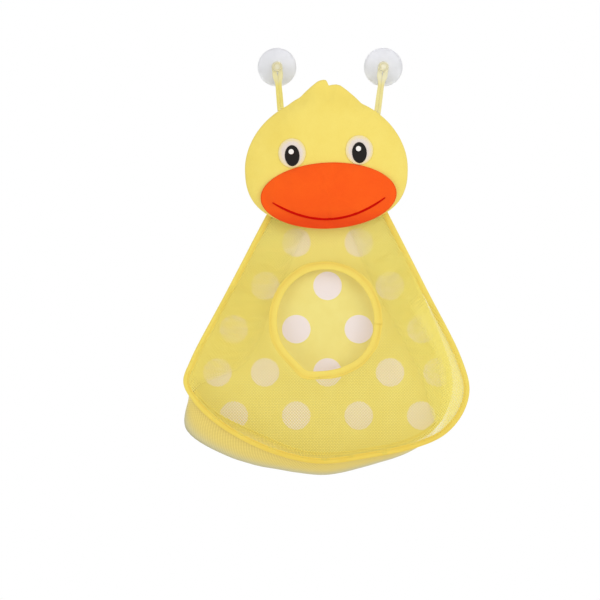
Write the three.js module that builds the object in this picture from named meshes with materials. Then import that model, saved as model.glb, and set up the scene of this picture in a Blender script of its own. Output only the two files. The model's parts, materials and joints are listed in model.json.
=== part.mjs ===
// Bath toy organizer: a mesh bag with a padded duck head that hangs on a wall by two suction cups.
// Millimetres. X runs to the right, Z up, and the wall is the plane Y = 0, with the object at negative Y.
// The origin lies on the wall, midway between the centres of the two cups.

import * as THREE from 'three';
import { mergeVertices } from 'three/addons/utils/BufferGeometryUtils.js';

const { Vector2, Vector3 } = THREE;
const radians = THREE.MathUtils.degToRad;

// Clearances between neighbouring pieces: flat faces, curved faces that lie on each other, and loose filling
const gap = 0.3;
const curveGap = 0.5;
const fillingGap = 0.9;

// Suction cups, one moulding each: lip, bowl, neck and knob
const cupSpacing = 134.8;
const cupDiameter = 49;
const cupBowlHeight = 8.8;
const cupHollow = 6.2;
const cupLipWidth = 2;
const cupLipThickness = 0.8;
const neckDiameter = 6.4;
const neckLength = 6.2;
const neckFillet = 1.8;
const knobDiameter = 13;
const knobThickness = 4.6;
const knobEdgeRadius = 1.6;

// Straps: a ribbon folded to a loop, with an eye round the neck of the cup
const strapWidth = 7.5;
const strapThickness = 1.2;
const strapStrand = 2.8;
const eyeClearance = 0.9;
const strapShoulder = 16;
const eyeDip = 20;
const leftSeatOffset = 57.4;
const rightSeatOffset = 64.2;

// Duck head: outline, seam plane and the depth of the two covers
const headOffset = 5;
const headDrop = 128.5;
const headWidth = 206;
const headRise = 92.4;
const headFall = 72.5;
const headLean = 1.3;
const headStand = 24;
const headFrontDepth = 22;
const headBackDepth = 12;
const coverThickness = 1;
const tuftWidth = 96;
const tuftHeight = 20.3;

// Face, in a frame turned by its own lean about the middle of the head
const faceLean = 2.6;
const eyeSpacing = 85;
const eyeRise = 20.2;
const eyeWidth = 34.8;
const eyeHeight = 37.4;
const pupilDrop = 3.3;
const pupilWidth = 18.6;
const pupilHeight = 26.6;
const glintRise = 5;
const glintShift = 1;
const glintDiameter = 6;
const patchThickness = 0.6;

// Beak: a padded oval that stands in front of the head, and the stitched mouth on it
const beakWidth = 171.6;
const beakHeight = 82.8;
const beakShift = 1.2;
const beakDrop = 35.5;
const beakDepth = 11;
const beakFlareShare = 0.85;
const mouthWidth = 142.4;
const mouthSag = 23.8;
const mouthDrop = 5.7;
const mouthLine = 3.2;
const mouthThickness = 0.8;

// Bag: one drop shape shared by the front panel, the back panel and the gusset between them
const bagOffset = 5;
const bagWidth = 362;
const bagDrop = 314;
const hingeDrop = 190;
const frontStand = 17.2;
const frontLean = 5.7;
const backStand = 10;
const backLean = 1.54;
const panelThickness = 0.6;
const gussetThickness = 0.6;
const topEdgeSag = 10.4;

// Folded tape round the panels and the opening
const tapeWidth = 7.5;
const tapeHeight = 2.4;
const tapeFold = 0.7;
const tapeSlot = 1.2;
const openingTapeWidth = 11;

// Round hand opening in the front panel
const openingWidth = 133;
const openingHeight = 140.6;
const openingDrop = 132.5;
const openingShift = 1;

// Counts
const cupSides = 20;
const bowlRings = 5;
const headSteps = 32;
const beakSteps = 34;
const eyeSteps = 20;
const glintSteps = 10;
const spanSteps = 3;
const openingSteps = 34;
const mouthSteps = 24;

// The bag's outline from the top left round the bottom to the top right, as shares of half the width and of the
// drop: x and drop of the front edge, of the gusset's fold line and of the back edge. The gusset folds inward
// along both sides and bulges outward below, most at the lower left.
const bagShares = [
  [-0.40, -0.03, -0.08, -0.03, -0.40, -0.03],
  [-0.70, 0.304, -0.34, 0.304, -0.70, 0.304],
  [-0.95, 0.58, -0.58, 0.60, -0.94, 0.58],
  [-1.0, 0.67, -0.90, 0.69, -0.97, 0.67],
  [-0.93, 0.75, -0.99, 0.80, -0.90, 0.75],
  [-0.78, 0.835, -0.97, 0.868, -0.76, 0.82],
  [-0.50, 0.93, -0.66, 0.975, -0.50, 0.892],
  [-0.20, 0.988, -0.24, 1.03, -0.20, 0.962],
  [0, 1.0, 0, 1.043, 0, 0.976],
  [0.30, 0.976, 0.30, 1.005, 0.30, 0.957],
  [0.60, 0.94, 0.60, 0.945, 0.58, 0.92],
  [0.82, 0.885, 0.76, 0.87, 0.76, 0.86],
  [0.95, 0.80, 0.72, 0.77, 0.85, 0.78],
  [1.0, 0.70, 0.68, 0.68, 0.885, 0.70],
  [0.945, 0.574, 0.60, 0.574, 0.87, 0.60],
  [0.70, 0.29, 0.34, 0.29, 0.66, 0.29],
  [0.42, -0.03, 0.10, -0.03, 0.40, -0.03],
];

// The back panel runs on above the gusset, behind the head.
const backTopShares = [[-0.27, -0.16], [0.28, -0.16]];

// Middle line of the opening's tape, as shares of its half width and half height; its lower left hangs slack.
const openingShares = [
  [1, 0], [0.91, -0.42], [0.66, -0.74], [0.28, -0.925], [-0.14, -0.985], [-0.38, -0.97], [-0.56, -0.83],
  [-0.92, -0.40], [-1, 0.02], [-0.91, 0.42], [-0.70, 0.72], [-0.38, 0.93], [0, 1], [0.38, 0.93],
  [0.70, 0.72], [0.92, 0.40],
];

// The tuft on top of the head: x as a share of half its width, height as a share of its own height
const tuftShares = [
  [-1, 0], [-0.62, 0.17], [-0.34, 0.58], [-0.09, 0.97], [0.04, 1], [0.085, 0.6], [0.19, 0.7], [0.36, 0.72],
  [0.62, 0.37], [0.96, 0],
];

// Rings of a padded dome, from its middle to its seam, closer where it rolls over
const frontRingShares = [0.28, 0.5, 0.68, 0.82, 0.92, 0.98, 1];
const backRingShares = [0.22, 0.42, 0.6, 0.76, 0.89, 0.97, 1];
const fillingRingShares = [0.45, 0.75, 0.94, 1];
const patchRingShares = [0.5, 1];

// Shape of a padded dome: its height falls from the middle to the seam, rounded at the seam.
const domePower = 0.6;
const dome = (share) => Math.pow(Math.max(0, 1 - share * share), domePower);

// Colours
const colours = {
  clear: 0xe4e4ea, ribbon: 0xe7d56f, head: 0xf8e275, wadding: 0xf6f4ee, white: 0xf2efe8, pupil: 0x2a2526,
  beak: 0xf95e1b, mouth: 0xb81c00, printed: 0xf0df84, mesh: 0xecd55c, tape: 0xf2d352,
};

function cloth(color) {
  return new THREE.MeshStandardMaterial({ color, roughness: 0.9, metalness: 0 });
}

function clearPlastic() {
  const look = { color: colours.clear, roughness: 0.25, metalness: 0, transparent: true, opacity: 0.5 };
  return new THREE.MeshStandardMaterial(look);
}

function named(name, geometry, material) {
  const mesh = new THREE.Mesh(geometry, material);
  mesh.name = name;
  return mesh;
}

// A closed geometry from points and triangles, with its faces turned outward.
function closedGeometry(points, faces) {
  let volume = 0;
  for (const [a, b, c] of faces) {
    volume += points[a].dot(new Vector3().crossVectors(points[b], points[c]));
  }
  const index = volume > 0 ? faces.flat() : faces.flatMap(([a, b, c]) => [a, c, b]);
  const geometry = new THREE.BufferGeometry().setFromPoints(points);
  geometry.setIndex(index);
  return geometry;
}

// A body between two skins over one outline. A skin gives the point for a step round the outline and a ring's
// share of the way out to it; share 0 is the middle.
function bodyBetweenSkins(frontSkin, backSkin, steps, ringShares) {
  const points = [];
  const faces = [];
  const rims = [frontSkin, backSkin].map((skin, side) => {
    const middle = points.push(skin(0, 0)) - 1;
    let inner = null;
    for (const share of ringShares) {
      const ring = Array.from({ length: steps }, (_, step) => points.push(skin(step, share)) - 1);
      ring.forEach((corner, step) => {
        const next = (step + 1) % steps;
        const quad = inner
          ? [[inner[step], corner, ring[next]], [inner[step], ring[next], inner[next]]]
          : [[middle, corner, ring[next]]];
        faces.push(...quad.map(([a, b, c]) => (side === 0 ? [a, b, c] : [a, c, b])));
      });
      inner = ring;
    }
    return inner;
  });
  rims[0].forEach((corner, step) => {
    const next = (step + 1) % steps;
    faces.push([corner, rims[1][step], rims[1][next]], [corner, rims[1][next], rims[0][next]]);
  });
  return closedGeometry(points, faces);
}

// A body lofted through sections with the same number of corners, as a ring or with both ends capped. From corner
// number turned on, the faces are divided the other way, so that the two faces of a twisted strip keep apart.
function loft(sections, flatSection, ring = false, turned = flatSection.length) {
  const corners = flatSection.length;
  const points = sections.flat();
  const faces = [];
  const spans = ring ? sections.length : sections.length - 1;
  for (let span = 0; span < spans; span += 1) {
    const here = span * corners;
    const there = ((span + 1) % sections.length) * corners;
    for (let corner = 0; corner < corners; corner += 1) {
      const next = (corner + 1) % corners;
      const [first, last] = corner < turned ? [there + next, here + corner] : [here + next, there + corner];
      faces.push([here + corner, there + corner, first], [last, there + next, here + next]);
    }
  }
  if (!ring) {
    const last = (sections.length - 1) * corners;
    for (const [a, b, c] of THREE.ShapeUtils.triangulateShape(flatSection, [])) {
      const clockwise = THREE.ShapeUtils.isClockWise(flatSection);
      faces.push(clockwise ? [a, c, b] : [a, b, c]);
      faces.push(clockwise ? [last + a, last + b, last + c] : [last + a, last + c, last + b]);
    }
  }
  return closedGeometry(points, faces);
}

// A smooth line through points in a plane, with the same number of steps in each span.
function smoothLine(points, closed, steps) {
  const curve = new THREE.CatmullRomCurve3(points.map(([x, y]) => new Vector3(x, y, 0)), closed, 'centripetal');
  const count = closed ? steps : steps + 1;
  return Array.from({ length: count }, (_, step) => {
    const { x, y } = curve.getPoint(step / steps);
    return new Vector2(x, y);
  });
}

// A line moved to its own left. The bag's lines run down the left side first, so the inside of the bag is on
// their left; the opening's line runs clockwise, so the mesh round the opening is on its left.
function leftOf(line, closed) {
  const last = line.length - 1;
  return line.map((_, step) => {
    const before = line[closed ? (step + last) % line.length : Math.max(0, step - 1)];
    const after = line[closed ? (step + 1) % line.length : Math.min(last, step + 1)];
    const along = after.clone().sub(before).normalize();
    return new Vector2(-along.y, along.x);
  });
}

function shifted(line, closed, distance) {
  const left = leftOf(line, closed);
  return line.map((point, step) => point.clone().addScaledVector(left[step], distance));
}

// Planes of the two panels. Drop runs down the panel from the hinge line, out stands off it to the front.
function panelPlane(stand, lean) {
  const turn = radians(lean);
  const down = new Vector3(0, -Math.sin(turn), -Math.cos(turn));
  const front = new Vector3(0, -Math.cos(turn), Math.sin(turn));
  const at = (x, y, out) => new Vector3(x, -stand, -hingeDrop).addScaledVector(down, -y).addScaledVector(front, out);
  const group = new THREE.Group();
  group.position.set(0, -stand, -hingeDrop);
  group.rotation.x = Math.PI / 2 - turn;
  return { at, group };
}

const frontPlane = panelPlane(frontStand, frontLean);
const backPlane = panelPlane(backStand, -backLean);

// Outlines of the bag in its panels' planes, with Y up the panel
const bagPoint = (xShare, dropShare) => [xShare * bagWidth / 2 - bagOffset, -dropShare * bagDrop];
const bagSteps = (bagShares.length - 1) * spanSteps;
const frontEdge = smoothLine(bagShares.map((row) => bagPoint(row[0], row[1])), false, bagSteps);
const foldLine = smoothLine(bagShares.map((row) => bagPoint(row[2], row[3])), false, bagSteps);
const backEdge = smoothLine(bagShares.map((row) => bagPoint(row[4], row[5])), false, bagSteps);

function backTapeLine() {
  const rows = bagShares.map((row) => bagPoint(row[4], row[5]));
  const [topLeft, topRight] = backTopShares.map((row) => bagPoint(row[0], row[1]));
  return smoothLine([topLeft, ...rows, topRight], false, (rows.length + 1) * spanSteps);
}

// Folded tape: a U section, rounded at its fold, that takes a panel's edge in its slot. Its corners are given as
// distance from the fold and height above the panel.
function tapeSection(width) {
  const half = tapeHeight / 2;
  return [
    [width, -half], [tapeFold, -half], [0, -half / 2], [0, half / 2], [tapeFold, half], [width, half],
    [width, tapeSlot / 2], [tapeFold, tapeSlot / 2], [tapeFold, -tapeSlot / 2], [width, -tapeSlot / 2],
  ].map(([reach, height]) => new Vector2(reach, height));
}

// The tape's fold follows the line, and its legs reach to the line's left.
function tape(line, closed, width) {
  const section = tapeSection(width);
  const left = leftOf(line, closed);
  const sections = line.map((point, step) => section.map(({ x, y }) => {
    const corner = point.clone().addScaledVector(left[step], x);
    return new Vector3(corner.x, corner.y, y);
  }));
  return loft(sections, section, closed);
}

const slotDepth = tapeFold + gap;

function panel(edge, top, hole) {
  const outline = [...shifted(edge, false, slotDepth), ...top];
  const shape = new THREE.Shape(outline);
  if (hole) {
    shape.holes.push(new THREE.Path(hole));
  }
  const geometry = new THREE.ExtrudeGeometry(shape, { depth: panelThickness, bevelEnabled: false });
  return geometry.translate(0, 0, -panelThickness / 2);
}

// Middle line of the tape round the hand opening
const openingLine = smoothLine(
  openingShares.map(([x, y]) => [
    x * openingWidth / 2 - bagOffset - openingShift,
    y * openingHeight / 2 - openingDrop,
  ]),
  true,
  openingSteps,
);

function openingTape() {
  return tape(shifted(openingLine, true, -openingTapeWidth / 2), true, openingTapeWidth);
}

function frontPanel() {
  const hole = shifted(openingLine, true, slotDepth - openingTapeWidth / 2);
  const left = frontEdge[0];
  const right = frontEdge[frontEdge.length - 1];
  const middle = new Vector2((left.x + right.x) / 2, (left.y + right.y) / 2 - topEdgeSag * 2);
  const arch = new THREE.QuadraticBezierCurve(right, middle, left);
  const archSteps = spanSteps * 2;
  const top = Array.from({ length: archSteps - 1 }, (_, step) => arch.getPoint((step + 1) / archSteps));
  return panel(frontEdge, top, hole);
}

// The gusset: a strip of mesh from the back of the front tape to the fold line and on to the back tape.
function gusset() {
  const stand = tapeHeight / 2 + gap + gussetThickness;
  const front = shifted(frontEdge, false, tapeWidth / 2);
  const back = shifted(backEdge, false, tapeWidth / 2);
  const rows = front.map(({ x, y }, step) => {
    const frontPoint = frontPlane.at(x, y, -stand);
    const backPoint = backPlane.at(back[step].x, back[step].y, stand);
    const fold = foldLine[step];
    const foldFront = frontPlane.at(fold.x, fold.y, -stand);
    const foldBack = backPlane.at(fold.x, fold.y, stand);
    return [frontPoint, foldFront.add(foldBack).multiplyScalar(1 / 2), backPoint];
  });
  const sections = rows.map((row, step) => {
    const before = rows[Math.max(0, step - 1)][1];
    const after = rows[Math.min(rows.length - 1, step + 1)][1];
    const run = after.clone().sub(before).normalize();
    return gussetSection(row, run);
  });
  return loft(sections, gussetFlat, false, 3);
}

// One section of the gusset: one face of the strip, and the other face a thickness off it. The second face stops
// where its two legs would meet inside the fold, and gets a blunt nose outside it.
const noseEase = 0.4;

function gussetSection([front, fold, back], run) {
  const first = fold.clone().sub(front).normalize();
  const second = back.clone().sub(fold).normalize();
  const firstNormal = new Vector3().crossVectors(run, first).normalize();
  const secondNormal = new Vector3().crossVectors(run, second).normalize();
  const meeting = (1 - firstNormal.dot(secondNormal)) / secondNormal.dot(first);
  const nose = (Math.min(meeting, 1) - noseEase) * gussetThickness;
  const off = (point, normal) => point.clone().addScaledVector(normal, gussetThickness);
  return [
    front, fold, back,
    off(back, secondNormal),
    off(fold, secondNormal).addScaledVector(second, -nose),
    off(fold, firstNormal).addScaledVector(first, nose),
    off(front, firstNormal),
  ];
}

// The same section laid flat, to divide the gusset's two ends into triangles
const gussetFlat = [[0, 1], [4, 2], [0, 3], [0, 4], [5, 3], [5, 1], [0, 0]].map(([x, y]) => new Vector2(x, y));

// Outline of the head in its own frame: two half ovals that meet at its widest line
const crownPower = 1.9;
const chinPower = 2.6;

function headShare(x, z) {
  const [power, reach] = z > 0 ? [crownPower, headRise] : [chinPower, headFall];
  return Math.pow(Math.pow(Math.abs(x) / (headWidth / 2), power) + Math.pow(Math.abs(z) / reach, power), 1 / power);
}

// Corners round the head: the tuft's own across the crown, and evenly spaced in angle round the rest.
function headOutline() {
  const crown = tuftShares.map(([place, height]) => {
    const x = place * tuftWidth / 2;
    const z = headRise * Math.pow(1 - Math.pow(Math.abs(x) / (headWidth / 2), crownPower), 1 / crownPower);
    return { base: new Vector2(x, z), tuft: height * tuftHeight };
  }).reverse();
  const start = crown[crown.length - 1].base.angle();
  const sweep = 2 * Math.PI - start + crown[0].base.angle();
  const rest = Array.from({ length: headSteps - 1 }, (_, step) => {
    const angle = start + sweep * (step + 1) / headSteps;
    const [x, z] = [Math.cos(angle), Math.sin(angle)];
    return { base: new Vector2(x, z).divideScalar(headShare(x, z)), tuft: 0 };
  });
  return [...crown, ...rest].map(({ base, tuft }) => ({ base, tuft, direction: base.clone().normalize() }));
}

const headCorners = headOutline();

// A point of the head from its own frame, which leans about the head's middle
function headPoint(x, z, y) {
  const turn = radians(headLean);
  return new Vector3(
    x * Math.cos(turn) - z * Math.sin(turn) - headOffset,
    y,
    x * Math.sin(turn) + z * Math.cos(turn) - headDrop,
  );
}

// The tuft is a flat flap of the seam, so it fades out within the outermost rings.
const tuftFadePower = 8;

function headSkin(inset, depth, seam, facing, tufted = true) {
  return (step, share) => {
    const { base, direction, tuft } = headCorners[step];
    const flap = tufted ? tuft * Math.pow(share, tuftFadePower) : 0;
    const corner = base.clone().addScaledVector(direction, -inset).multiplyScalar(share);
    corner.addScaledVector(direction, flap);
    return headPoint(corner.x, corner.y, -(headStand + facing * (seam + depth * dome(share))));
  };
}

// Front of the head's cover at a place in the wall's frame
function headFrontY(x, z, flare = 1) {
  const turn = radians(-headLean);
  const dx = x + headOffset;
  const dz = z + headDrop;
  const across = dx * Math.cos(turn) - dz * Math.sin(turn);
  const up = dx * Math.sin(turn) + dz * Math.cos(turn);
  return -(headStand + gap / 2 + headFrontDepth * dome(flare * headShare(across, up)));
}

// A point of the face frame, as x and z in the wall's frame
function facePlace(x, z) {
  const turn = radians(faceLean);
  return {
    x: x * Math.cos(turn) - z * Math.sin(turn) - headOffset,
    z: x * Math.sin(turn) + z * Math.cos(turn) - headDrop,
  };
}

function headParts() {
  const steps = headCorners.length;
  const wadding = coverThickness + fillingGap;
  const frontCover = bodyBetweenSkins(
    headSkin(0, headFrontDepth, gap / 2, 1),
    headSkin(coverThickness, headFrontDepth - coverThickness, gap / 2, 1),
    steps,
    frontRingShares,
  );
  const backCover = bodyBetweenSkins(
    headSkin(0, headBackDepth, gap / 2, -1),
    headSkin(coverThickness, headBackDepth - coverThickness, gap / 2, -1),
    steps,
    backRingShares,
  );
  const filling = bodyBetweenSkins(
    headSkin(wadding, headFrontDepth - wadding, gap / 2, 1, false),
    headSkin(wadding, headBackDepth - wadding, gap / 2, -1, false),
    steps,
    fillingRingShares,
  );
  return [
    named('head_front_cover', frontCover, cloth(colours.head)),
    named('head_back_cover', backCover, cloth(colours.head)),
    named('head_filling', filling, cloth(colours.wadding)),
  ];
}

// An oval patch of even thickness on the face. Its layer counts from the head's cover outward.
function facePatch(x, z, width, height, steps, layer) {
  const stand = curveGap + layer * (patchThickness + curveGap);
  const skin = (extra) => (step, share) => {
    const angle = 2 * Math.PI * step / steps;
    const place = facePlace(x + Math.cos(angle) * share * width / 2, z + Math.sin(angle) * share * height / 2);
    return new Vector3(place.x, headFrontY(place.x, place.z) - stand - extra, place.z);
  };
  return bodyBetweenSkins(skin(patchThickness), skin(0), steps, patchRingShares);
}

function eyes() {
  return [['left', -1], ['right', 1]].flatMap(([name, side]) => {
    const x = side * eyeSpacing / 2;
    const pupilRise = eyeRise - pupilDrop;
    const white = facePatch(x, eyeRise, eyeWidth, eyeHeight, eyeSteps, 0);
    const pupil = facePatch(x, pupilRise, pupilWidth, pupilHeight, eyeSteps, 1);
    const glint = facePatch(x - glintShift, pupilRise + glintRise, glintDiameter, glintDiameter, glintSteps, 2);
    return [
      named(`${name}_eye_white`, white, cloth(colours.white)),
      named(`${name}_pupil`, pupil, cloth(colours.pupil)),
      named(`${name}_glint`, glint, cloth(colours.white)),
    ];
  });
}

// Seam of the beak: it flares forward of the head's cover, so that the rim stands free like a lip.
function beakSeamY({ x, z }) {
  return headFrontY(x, z, beakFlareShare) - curveGap - coverThickness;
}

// A skin of the beak over its oval outline, from the y of a place and its share of the way out to the rim
function beakSkin(inset, yAt) {
  return (step, share) => {
    const angle = 2 * Math.PI * step / beakSteps;
    const place = facePlace(
      beakShift + Math.cos(angle) * share * (beakWidth / 2 - inset),
      Math.sin(angle) * share * (beakHeight / 2 - inset) - beakDrop,
    );
    return new Vector3(place.x, yAt(place, share), place.z);
  };
}

const beakFrontY = (inset, stand) => (place, share) => beakSeamY(place) - stand - (beakDepth - inset) * dome(share);

// The back of the beak lies on the head and rises to the seam close to the rim.
const beakRollPower = 6;

const beakBackY = (inset, stand) => (place, share) => {
  const resting = headFrontY(place.x, place.z) - curveGap - inset;
  return THREE.MathUtils.lerp(resting, beakSeamY(place) - stand, Math.pow(share, beakRollPower));
};

function beakParts() {
  const thickness = coverThickness;
  const wadding = coverThickness + fillingGap;
  const body = (frontSkin, backSkin, shares) => bodyBetweenSkins(frontSkin, backSkin, beakSteps, shares);
  const frontCover = body(
    beakSkin(0, beakFrontY(0, gap / 2)),
    beakSkin(thickness, beakFrontY(thickness, gap / 2)),
    frontRingShares,
  );
  const backCover = body(
    beakSkin(thickness, beakBackY(thickness, -gap / 2)),
    beakSkin(0, beakBackY(0, -gap / 2)),
    backRingShares,
  );
  const filling = body(
    beakSkin(wadding, beakFrontY(wadding, curveGap)),
    beakSkin(wadding, beakBackY(wadding, gap / 2)),
    fillingRingShares,
  );
  return [
    named('beak_front_cover', frontCover, cloth(colours.beak)),
    named('beak_back_cover', backCover, cloth(colours.beak)),
    named('beak_filling', filling, cloth(colours.wadding)),
    named('mouth_stitch', mouth(), cloth(colours.mouth)),
  ];
}

// The stitched mouth: a raised line in a shallow arc across the beak, narrower at its ends
const mouthEndPower = 8;
const mouthEndShare = 0.6;

function mouth() {
  const sections = Array.from({ length: mouthSteps + 1 }, (_, step) => {
    const share = 2 * step / mouthSteps - 1;
    const x = share * mouthWidth / 2;
    const z = -mouthDrop - mouthSag * (1 - share * share);
    const slope = 2 * mouthSag * share / (mouthWidth / 2);
    const half = mouthLine / 2 * (1 - mouthEndShare * Math.pow(share, mouthEndPower));
    const across = new Vector2(-slope, 1).normalize().multiplyScalar(half);
    const corner = (side, stand) => {
      const [dx, dz] = [x + side * across.x, z + side * across.y];
      const place = facePlace(beakShift + dx, dz - beakDrop);
      const beakShare = Math.hypot(dx / (beakWidth / 2), dz / (beakHeight / 2));
      return new Vector3(place.x, beakFrontY(0, gap / 2)(place, beakShare) - curveGap - stand, place.z);
    };
    return [corner(-1, 0), corner(1, 0), corner(1, mouthThickness), corner(-1, mouthThickness)];
  });
  return loft(sections, [[0, 0], [1, 0], [1, 1], [0, 1]].map(([x, y]) => new Vector2(x, y)));
}

// A suction cup, turned about its own middle: the lip lies on the wall, the knob faces the room.
function cup(side) {
  const radius = cupDiameter / 2;
  const lipInner = radius - cupLipWidth;
  const neck = neckDiameter / 2;
  const knob = knobDiameter / 2;
  const knobFront = -(cupBowlHeight + neckLength + knobThickness);
  const knobBack = knobFront + knobThickness;
  const outside = (r) => -cupLipThickness - (cupBowlHeight - cupLipThickness) * (1 - Math.pow(r / radius, 2));
  const inside = (r) => -cupHollow * (1 - Math.pow(r / lipInner, 2));
  const rings = Array.from({ length: bowlRings }, (_, step) => (step + 1) / bowlRings);
  const filletRadius = neck + neckFillet;
  const profile = [
    [0, knobFront],
    [knob - knobEdgeRadius, knobFront],
    [knob, knobFront + knobEdgeRadius],
    [knob, knobBack - knobEdgeRadius],
    [knob - knobEdgeRadius, knobBack],
    [neck, knobBack],
    [neck, outside(filletRadius) - neckFillet],
    [filletRadius, outside(filletRadius)],
    ...rings.map((share) => filletRadius + (radius - filletRadius) * share).map((r) => [r, outside(r)]),
    [radius, 0],
    [lipInner, 0],
    ...rings.slice(0, -1).reverse().map((share) => [lipInner * share, inside(lipInner * share)]),
    [0, -cupHollow],
  ];
  const turned = new THREE.LatheGeometry(profile.map(([r, y]) => new Vector2(r, y)), cupSides);
  turned.deleteAttribute('normal');
  turned.deleteAttribute('uv');
  const mesh = named(side < 0 ? 'left_cup' : 'right_cup', mergeVertices(turned), clearPlastic());
  mesh.position.set(side * cupSpacing / 2, 0, 0);
  return mesh;
}

// Where a strap leaves the head: a point just off the seam, and the direction of the seam there
function strapSeat(side) {
  const offset = side < 0 ? leftSeatOffset : rightSeatOffset;
  const seam = headCorners
    .map(({ base, direction, tuft }) => base.clone().addScaledVector(direction, tuft))
    .filter(({ y }) => y > 0)
    .map(({ x, y }) => headPoint(x, y, -headStand))
    .sort((a, b) => a.x - b.x);
  const x = side * offset - headOffset;
  const next = seam.findIndex((corner) => corner.x > x);
  const along = seam[next].clone().sub(seam[next - 1]).normalize();
  const point = seam[next - 1].clone().addScaledVector(along, (x - seam[next - 1].x) / along.x);
  const outward = new Vector3(-along.z, 0, along.x);
  return { along, point: point.addScaledVector(outward, strapThickness / 2 + gap) };
}

function strap(side) {
  const seat = strapSeat(side);
  const neck = new Vector3(side * cupSpacing / 2, -(cupBowlHeight + neckLength / 2), 0);
  const up = neck.clone().sub(seat.point);
  const length = up.length();
  up.normalize();
  const facing = new Vector3().crossVectors(seat.along, up).normalize();
  const across = new Vector3().crossVectors(up, facing);
  const slope = seat.along.dot(up) / seat.along.dot(across);
  const hole = neckDiameter / 2 + eyeClearance;
  const outer = hole + strapStrand;
  const half = strapWidth / 2;
  const shoulder = length - strapShoulder;
  const start = radians(-eyeDip);
  const end = Math.PI - start;
  const shape = new THREE.Shape();
  shape.moveTo(-half, -half * slope);
  shape.lineTo(half, half * slope);
  shape.lineTo(half, shoulder);
  shape.absarc(0, length, outer, start, end, false);
  shape.lineTo(-half, shoulder);
  const eye = new THREE.Path();
  eye.moveTo(0, shoulder + strapStrand);
  eye.lineTo(hole * Math.cos(start), length + hole * Math.sin(start));
  eye.absarc(0, length, hole, start, end, false);
  shape.holes.push(eye);
  const options = { depth: strapThickness, bevelEnabled: false, curveSegments: cupSides / 2 };
  const geometry = new THREE.ExtrudeGeometry(shape, options).translate(0, 0, -strapThickness / 2);
  const mesh = named(side < 0 ? 'left_strap' : 'right_strap', geometry, cloth(colours.ribbon));
  mesh.setRotationFromMatrix(new THREE.Matrix4().makeBasis(across, up, facing));
  mesh.position.copy(seat.point);
  return mesh;
}

const organizer = new THREE.Group();
frontPlane.group.add(
  named('front_mesh_panel', frontPanel(), cloth(colours.mesh)),
  named('front_binding', tape(frontEdge, false, tapeWidth), cloth(colours.tape)),
  named('opening_binding', openingTape(), cloth(colours.tape)),
);
backPlane.group.add(
  named('back_panel', panel(backTapeLine(), [], null), cloth(colours.printed)),
  named('back_binding', tape(backTapeLine(), false, tapeWidth), cloth(colours.tape)),
);
organizer.add(frontPlane.group, backPlane.group, named('gusset', gusset(), cloth(colours.mesh)));
organizer.add(...headParts(), ...eyes(), ...beakParts());
organizer.add(strap(-1), strap(1), cup(-1), cup(1));

export default organizer;
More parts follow.
